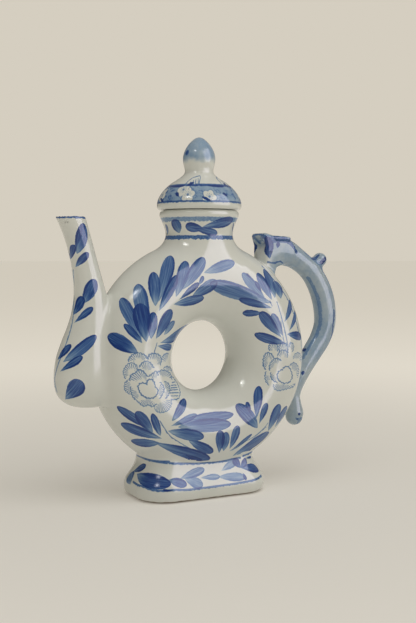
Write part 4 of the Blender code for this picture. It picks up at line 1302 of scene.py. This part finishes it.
def lid_band(g, P):
    x, y, z = g.sep(P)
    zz = g.m("SUBTRACT", z, LIFT)
    band = g.m("MULTIPLY", g.smooth(zz, 175.2, 175.5), g.smooth(zz, 185.4, 185.7, 1.0, 0.0))
    bx, by, bi = g.sep(g.attr("bloom")["Vector"])
    rr = g.m("SQRT", g.m("ADD", g.m("MULTIPLY", bx, bx), g.m("MULTIPLY", by, by)))
    th = g.m("ARCTAN2", by, bx)
    pet = g.m("ADD", 3.1, g.m("MULTIPLY", g.m("ABSOLUTE", g.m("COSINE", g.m("ADD", g.m("MULTIPLY", th, 2.5), bi))), 1.3))
    inside = g.smooth(g.m("SUBTRACT", rr, pet), -0.15, 0.15, 1.0, 0.0)
    rim = g.smooth(g.m("ABSOLUTE", g.m("SUBTRACT", rr, g.m("ADD", pet, 0.25))), 0.15, 0.55, 1.0, 0.0)
    heart = g.smooth(rr, 0.6, 0.9, 1.0, 0.0)
    ray = g.m("MULTIPLY", g.smooth(g.m("SINE", g.m("MULTIPLY", th, 10.0)), 0.4, 0.8),
              g.m("MULTIPLY", g.smooth(rr, 0.9, 1.1), g.smooth(rr, 2.1, 2.3, 1.0, 0.0)))
    pool = g.smooth(g.noise(P, 0.30, 3.0, 0.65, 0.8), 0.52, 0.68, 0.0, 0.75)
    washn = g.lin(g.noise(P, 0.16, 3.0, 0.6), 0.3, 0.7, 0.38, 0.78)
    blue = g.m("ADD", washn, pool)
    blue = g.m("MULTIPLY", blue, g.m("SUBTRACT", 1.0, inside))
    blue = g.m("ADD", blue, g.m("MULTIPLY", rim, 0.25))
    blue = g.m("ADD", blue, g.m("MULTIPLY", g.m("ADD", g.m("MULTIPLY", heart, 0.9), g.m("MULTIPLY", ray, 0.45)), inside))
    return g.m("MULTIPLY", blue, band)


def knob_wash(g, P):
    x, y, z = g.sep(P)
    zz = g.m("SUBTRACT", z, LIFT)
    zz = g.m("ADD", zz, g.m("MULTIPLY", g.m("SUBTRACT", g.noise(P, 0.16, 2.0), 0.5), 5.0))
    top = g.smooth(zz, 199.3, 203.5)
    n = g.lin(g.noise(P, 0.2, 3.0, 0.6), 0.3, 0.7, 0.34, 0.66)
    spot_c = g.vec(-8.6 + AXIS_X, -1.6, 205.6 + LIFT)
    dn = g.node("ShaderNodeVectorMath", operation="DISTANCE")
    g.put(dn.inputs[0], P)
    g.put(dn.inputs[1], spot_c)
    spot = g.smooth(dn.outputs["Value"], 1.1, 2.2, 1.2, 0.0)
    return g.m("ADD", g.m("MULTIPLY", top, n), spot)


store_blooms(dome)
nl, ns = turned_paint(dome, lid_leaves)
dome.data.materials.append(glaze("lid_dome_mat", nl, ns, depth=lid_band))
skirt.data.materials.append(glaze("lid_flange_mat", 0, 0, bare=lambda g, P: g.smooth(g.sep(P)[2], 164.0, 166.0, 1.0, 0.85), rough=0.3))
knob.data.materials.append(glaze("lid_finial_mat", 0, 0, depth=knob_wash, rough=0.12))
for ob, node, slot in ((dome, "lid_dome", "lid_glaze"), (skirt, "lid_flange", "flange_glaze"), (knob, "lid_finial", "finial_glaze")):
    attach(ob, "lid")
    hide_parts(node)


# ---------------------------------------------------------------- floor, light and camera
BACKDROP = (0.665, 0.617, 0.527)


def flat_floor():
    """Pale studio paper that runs out to the horizon. It glows with the backdrop colour as painted light, and glows
    less round the object, a painted shade there.
    """
    me = bpy.data.meshes.new("floor")
    s = 60.0
    me.from_pydata([(-s, -s, 0), (s, -s, 0), (s, s, 0), (-s, s, 0)], [], [(0, 1, 2, 3)])
    ob = bpy.data.objects.new("floor", me)
    bpy.context.scene.collection.objects.link(ob)
    mat = bpy.data.materials.new("floor_mat")
    mat.use_nodes = True
    t = mat.node_tree
    b = t.nodes["Principled BSDF"]
    b.inputs["Base Color"].default_value = (0.62, 0.615, 0.60, 1)
    b.inputs["Roughness"].default_value = 0.9
    b.inputs["Specular IOR Level"].default_value = 0.0
    co = t.nodes.new("ShaderNodeTexCoord")
    ln = t.nodes.new("ShaderNodeVectorMath")
    ln.operation = "LENGTH"
    t.links.new(co.outputs["Object"], ln.inputs[0])
    # painted shade: the floor's glow is weaker near the object than far off
    mr = t.nodes.new("ShaderNodeMapRange")
    mr.interpolation_type = "SMOOTHSTEP"
    t.links.new(ln.outputs["Value"], mr.inputs[0])
    for i, v in ((1, 0.05), (2, 0.80), (3, FLOOR_GLOW_NEAR_SHADED), (4, FLOOR_GLOW_FAR)):
        mr.inputs[i].default_value = v
    b.inputs["Emission Color"].default_value = BACKDROP + (1,)
    t.links.new(mr.outputs[0], b.inputs["Emission Strength"])
    me.materials.append(mat)
    return ob


# strength of the floor's glow: near the object (dimmed as a painted shade) and far off
FLOOR_GLOW_NEAR_SHADED, FLOOR_GLOW_FAR = 0.33, 0.66
floor = flat_floor()

scene = bpy.context.scene
world_ = bpy.data.worlds.new("studio")
scene.world = world_
world_.use_nodes = True
wt = world_.node_tree
bg = wt.nodes["Background"]
bg.inputs["Color"].default_value = BACKDROP + (1,)
lp = wt.nodes.new("ShaderNodeLightPath")
wm = wt.nodes.new("ShaderNodeMapRange")
wt.links.new(lp.outputs["Is Camera Ray"], wm.inputs[0])
tc = wt.nodes.new("ShaderNodeTexCoord")               # the room is brighter up and to the right
dp = wt.nodes.new("ShaderNodeVectorMath")
dp.operation = "DOT_PRODUCT"
wt.links.new(tc.outputs["Generated"], dp.inputs[0])
dp.inputs[1].default_value = (0.50, -0.20, 0.84)
room = wt.nodes.new("ShaderNodeMapRange")
wt.links.new(dp.outputs["Value"], room.inputs[0])
for i, v in ((1, -0.7), (2, 1.0), (3, 0.08), (4, 0.62)):
    room.inputs[i].default_value = v
wt.links.new(room.outputs[0], wm.inputs[3])
wm.inputs[4].default_value = 1.0                      # the paper behind it
wt.links.new(wm.outputs[0], bg.inputs["Strength"])
scene.view_settings.view_transform = "Standard"
scene.view_settings.look = "None"


def area(name, az, el, dist, w, h, power, color, target=(0.0, 0.0, 0.10), diffuse=True, glossy=True):
    """Soft light seen from the object at azimuth az (from -Y towards +X) and elevation el."""
    a, e = math.radians(az), math.radians(el)
    d = Vector((math.sin(a) * math.cos(e), -math.cos(a) * math.cos(e), math.sin(e)))
    li = bpy.data.lights.new(name, "AREA")
    li.shape = "RECTANGLE"
    li.size, li.size_y = w, h
    li.energy = power
    li.color = color
    ob = bpy.data.objects.new(name, li)
    ob.location = Vector(target) + d * dist
    ob.rotation_euler = d.to_track_quat("Z", "Y").to_euler()
    ob.visible_camera = False
    ob.visible_diffuse = diffuse
    ob.visible_glossy = glossy
    scene.collection.objects.link(ob)
    return ob


area("softbox_shine", 36, 21, 0.8, 0.78, 0.98, 8.6, (0.92, 0.87, 1.0), diffuse=False)
area("softbox", 38, 46, 1.6, 1.2, 1.2, 4.9, (1.0, 0.985, 0.95), glossy=False)
area("top", -35, 68, 1.4, 1.0, 1.0, 4.6, (1.0, 0.985, 0.95), glossy=False)
area("window", -62, 46, 1.8, 0.50, 0.30, 2.2, (1.0, 1.0, 0.98), diffuse=False)
area("window_core", -64, 48, 1.8, 0.16, 0.14, 0.9, (1.0, 1.0, 0.98), diffuse=False)

cam_d = bpy.data.cameras.new("camera")
cam = bpy.data.objects.new("camera", cam_d)
scene.collection.objects.link(cam)
scene.camera = cam
cam_d.sensor_fit = "VERTICAL"
cam_d.sensor_height = 36.0
cam_d.lens = 978.5 / 623 * 36.0
cam_d.dof.use_dof = False
az0, dist0, hc0, pitch0, f0, sx0 = math.radians(-27), 600.0, 141.7, math.radians(-3.07), 978.5, 199.2
loc = np.array([[math.sin(az0) * dist0, -math.cos(az0) * dist0, hc0]])
cam.location = Vector(world(loc)[0])
yaw = math.atan2(sx0 - 208, f0)
f_flat = Vector((-math.sin(az0), math.cos(az0), 0))
r_flat = Vector((math.cos(az0), math.sin(az0), 0))
fwd = f_flat * math.cos(yaw) - r_flat * math.sin(yaw)
rgt = r_flat * math.cos(yaw) + f_flat * math.sin(yaw)
look = fwd * math.cos(pitch0) + Vector((0, 0, 1)) * math.sin(pitch0)
upv = Vector((0, 0, 1)) * math.cos(pitch0) - fwd * math.sin(pitch0)
rot = Matrix((rgt, upv, -look)).transposed()
cam.rotation_euler = rot.to_euler()
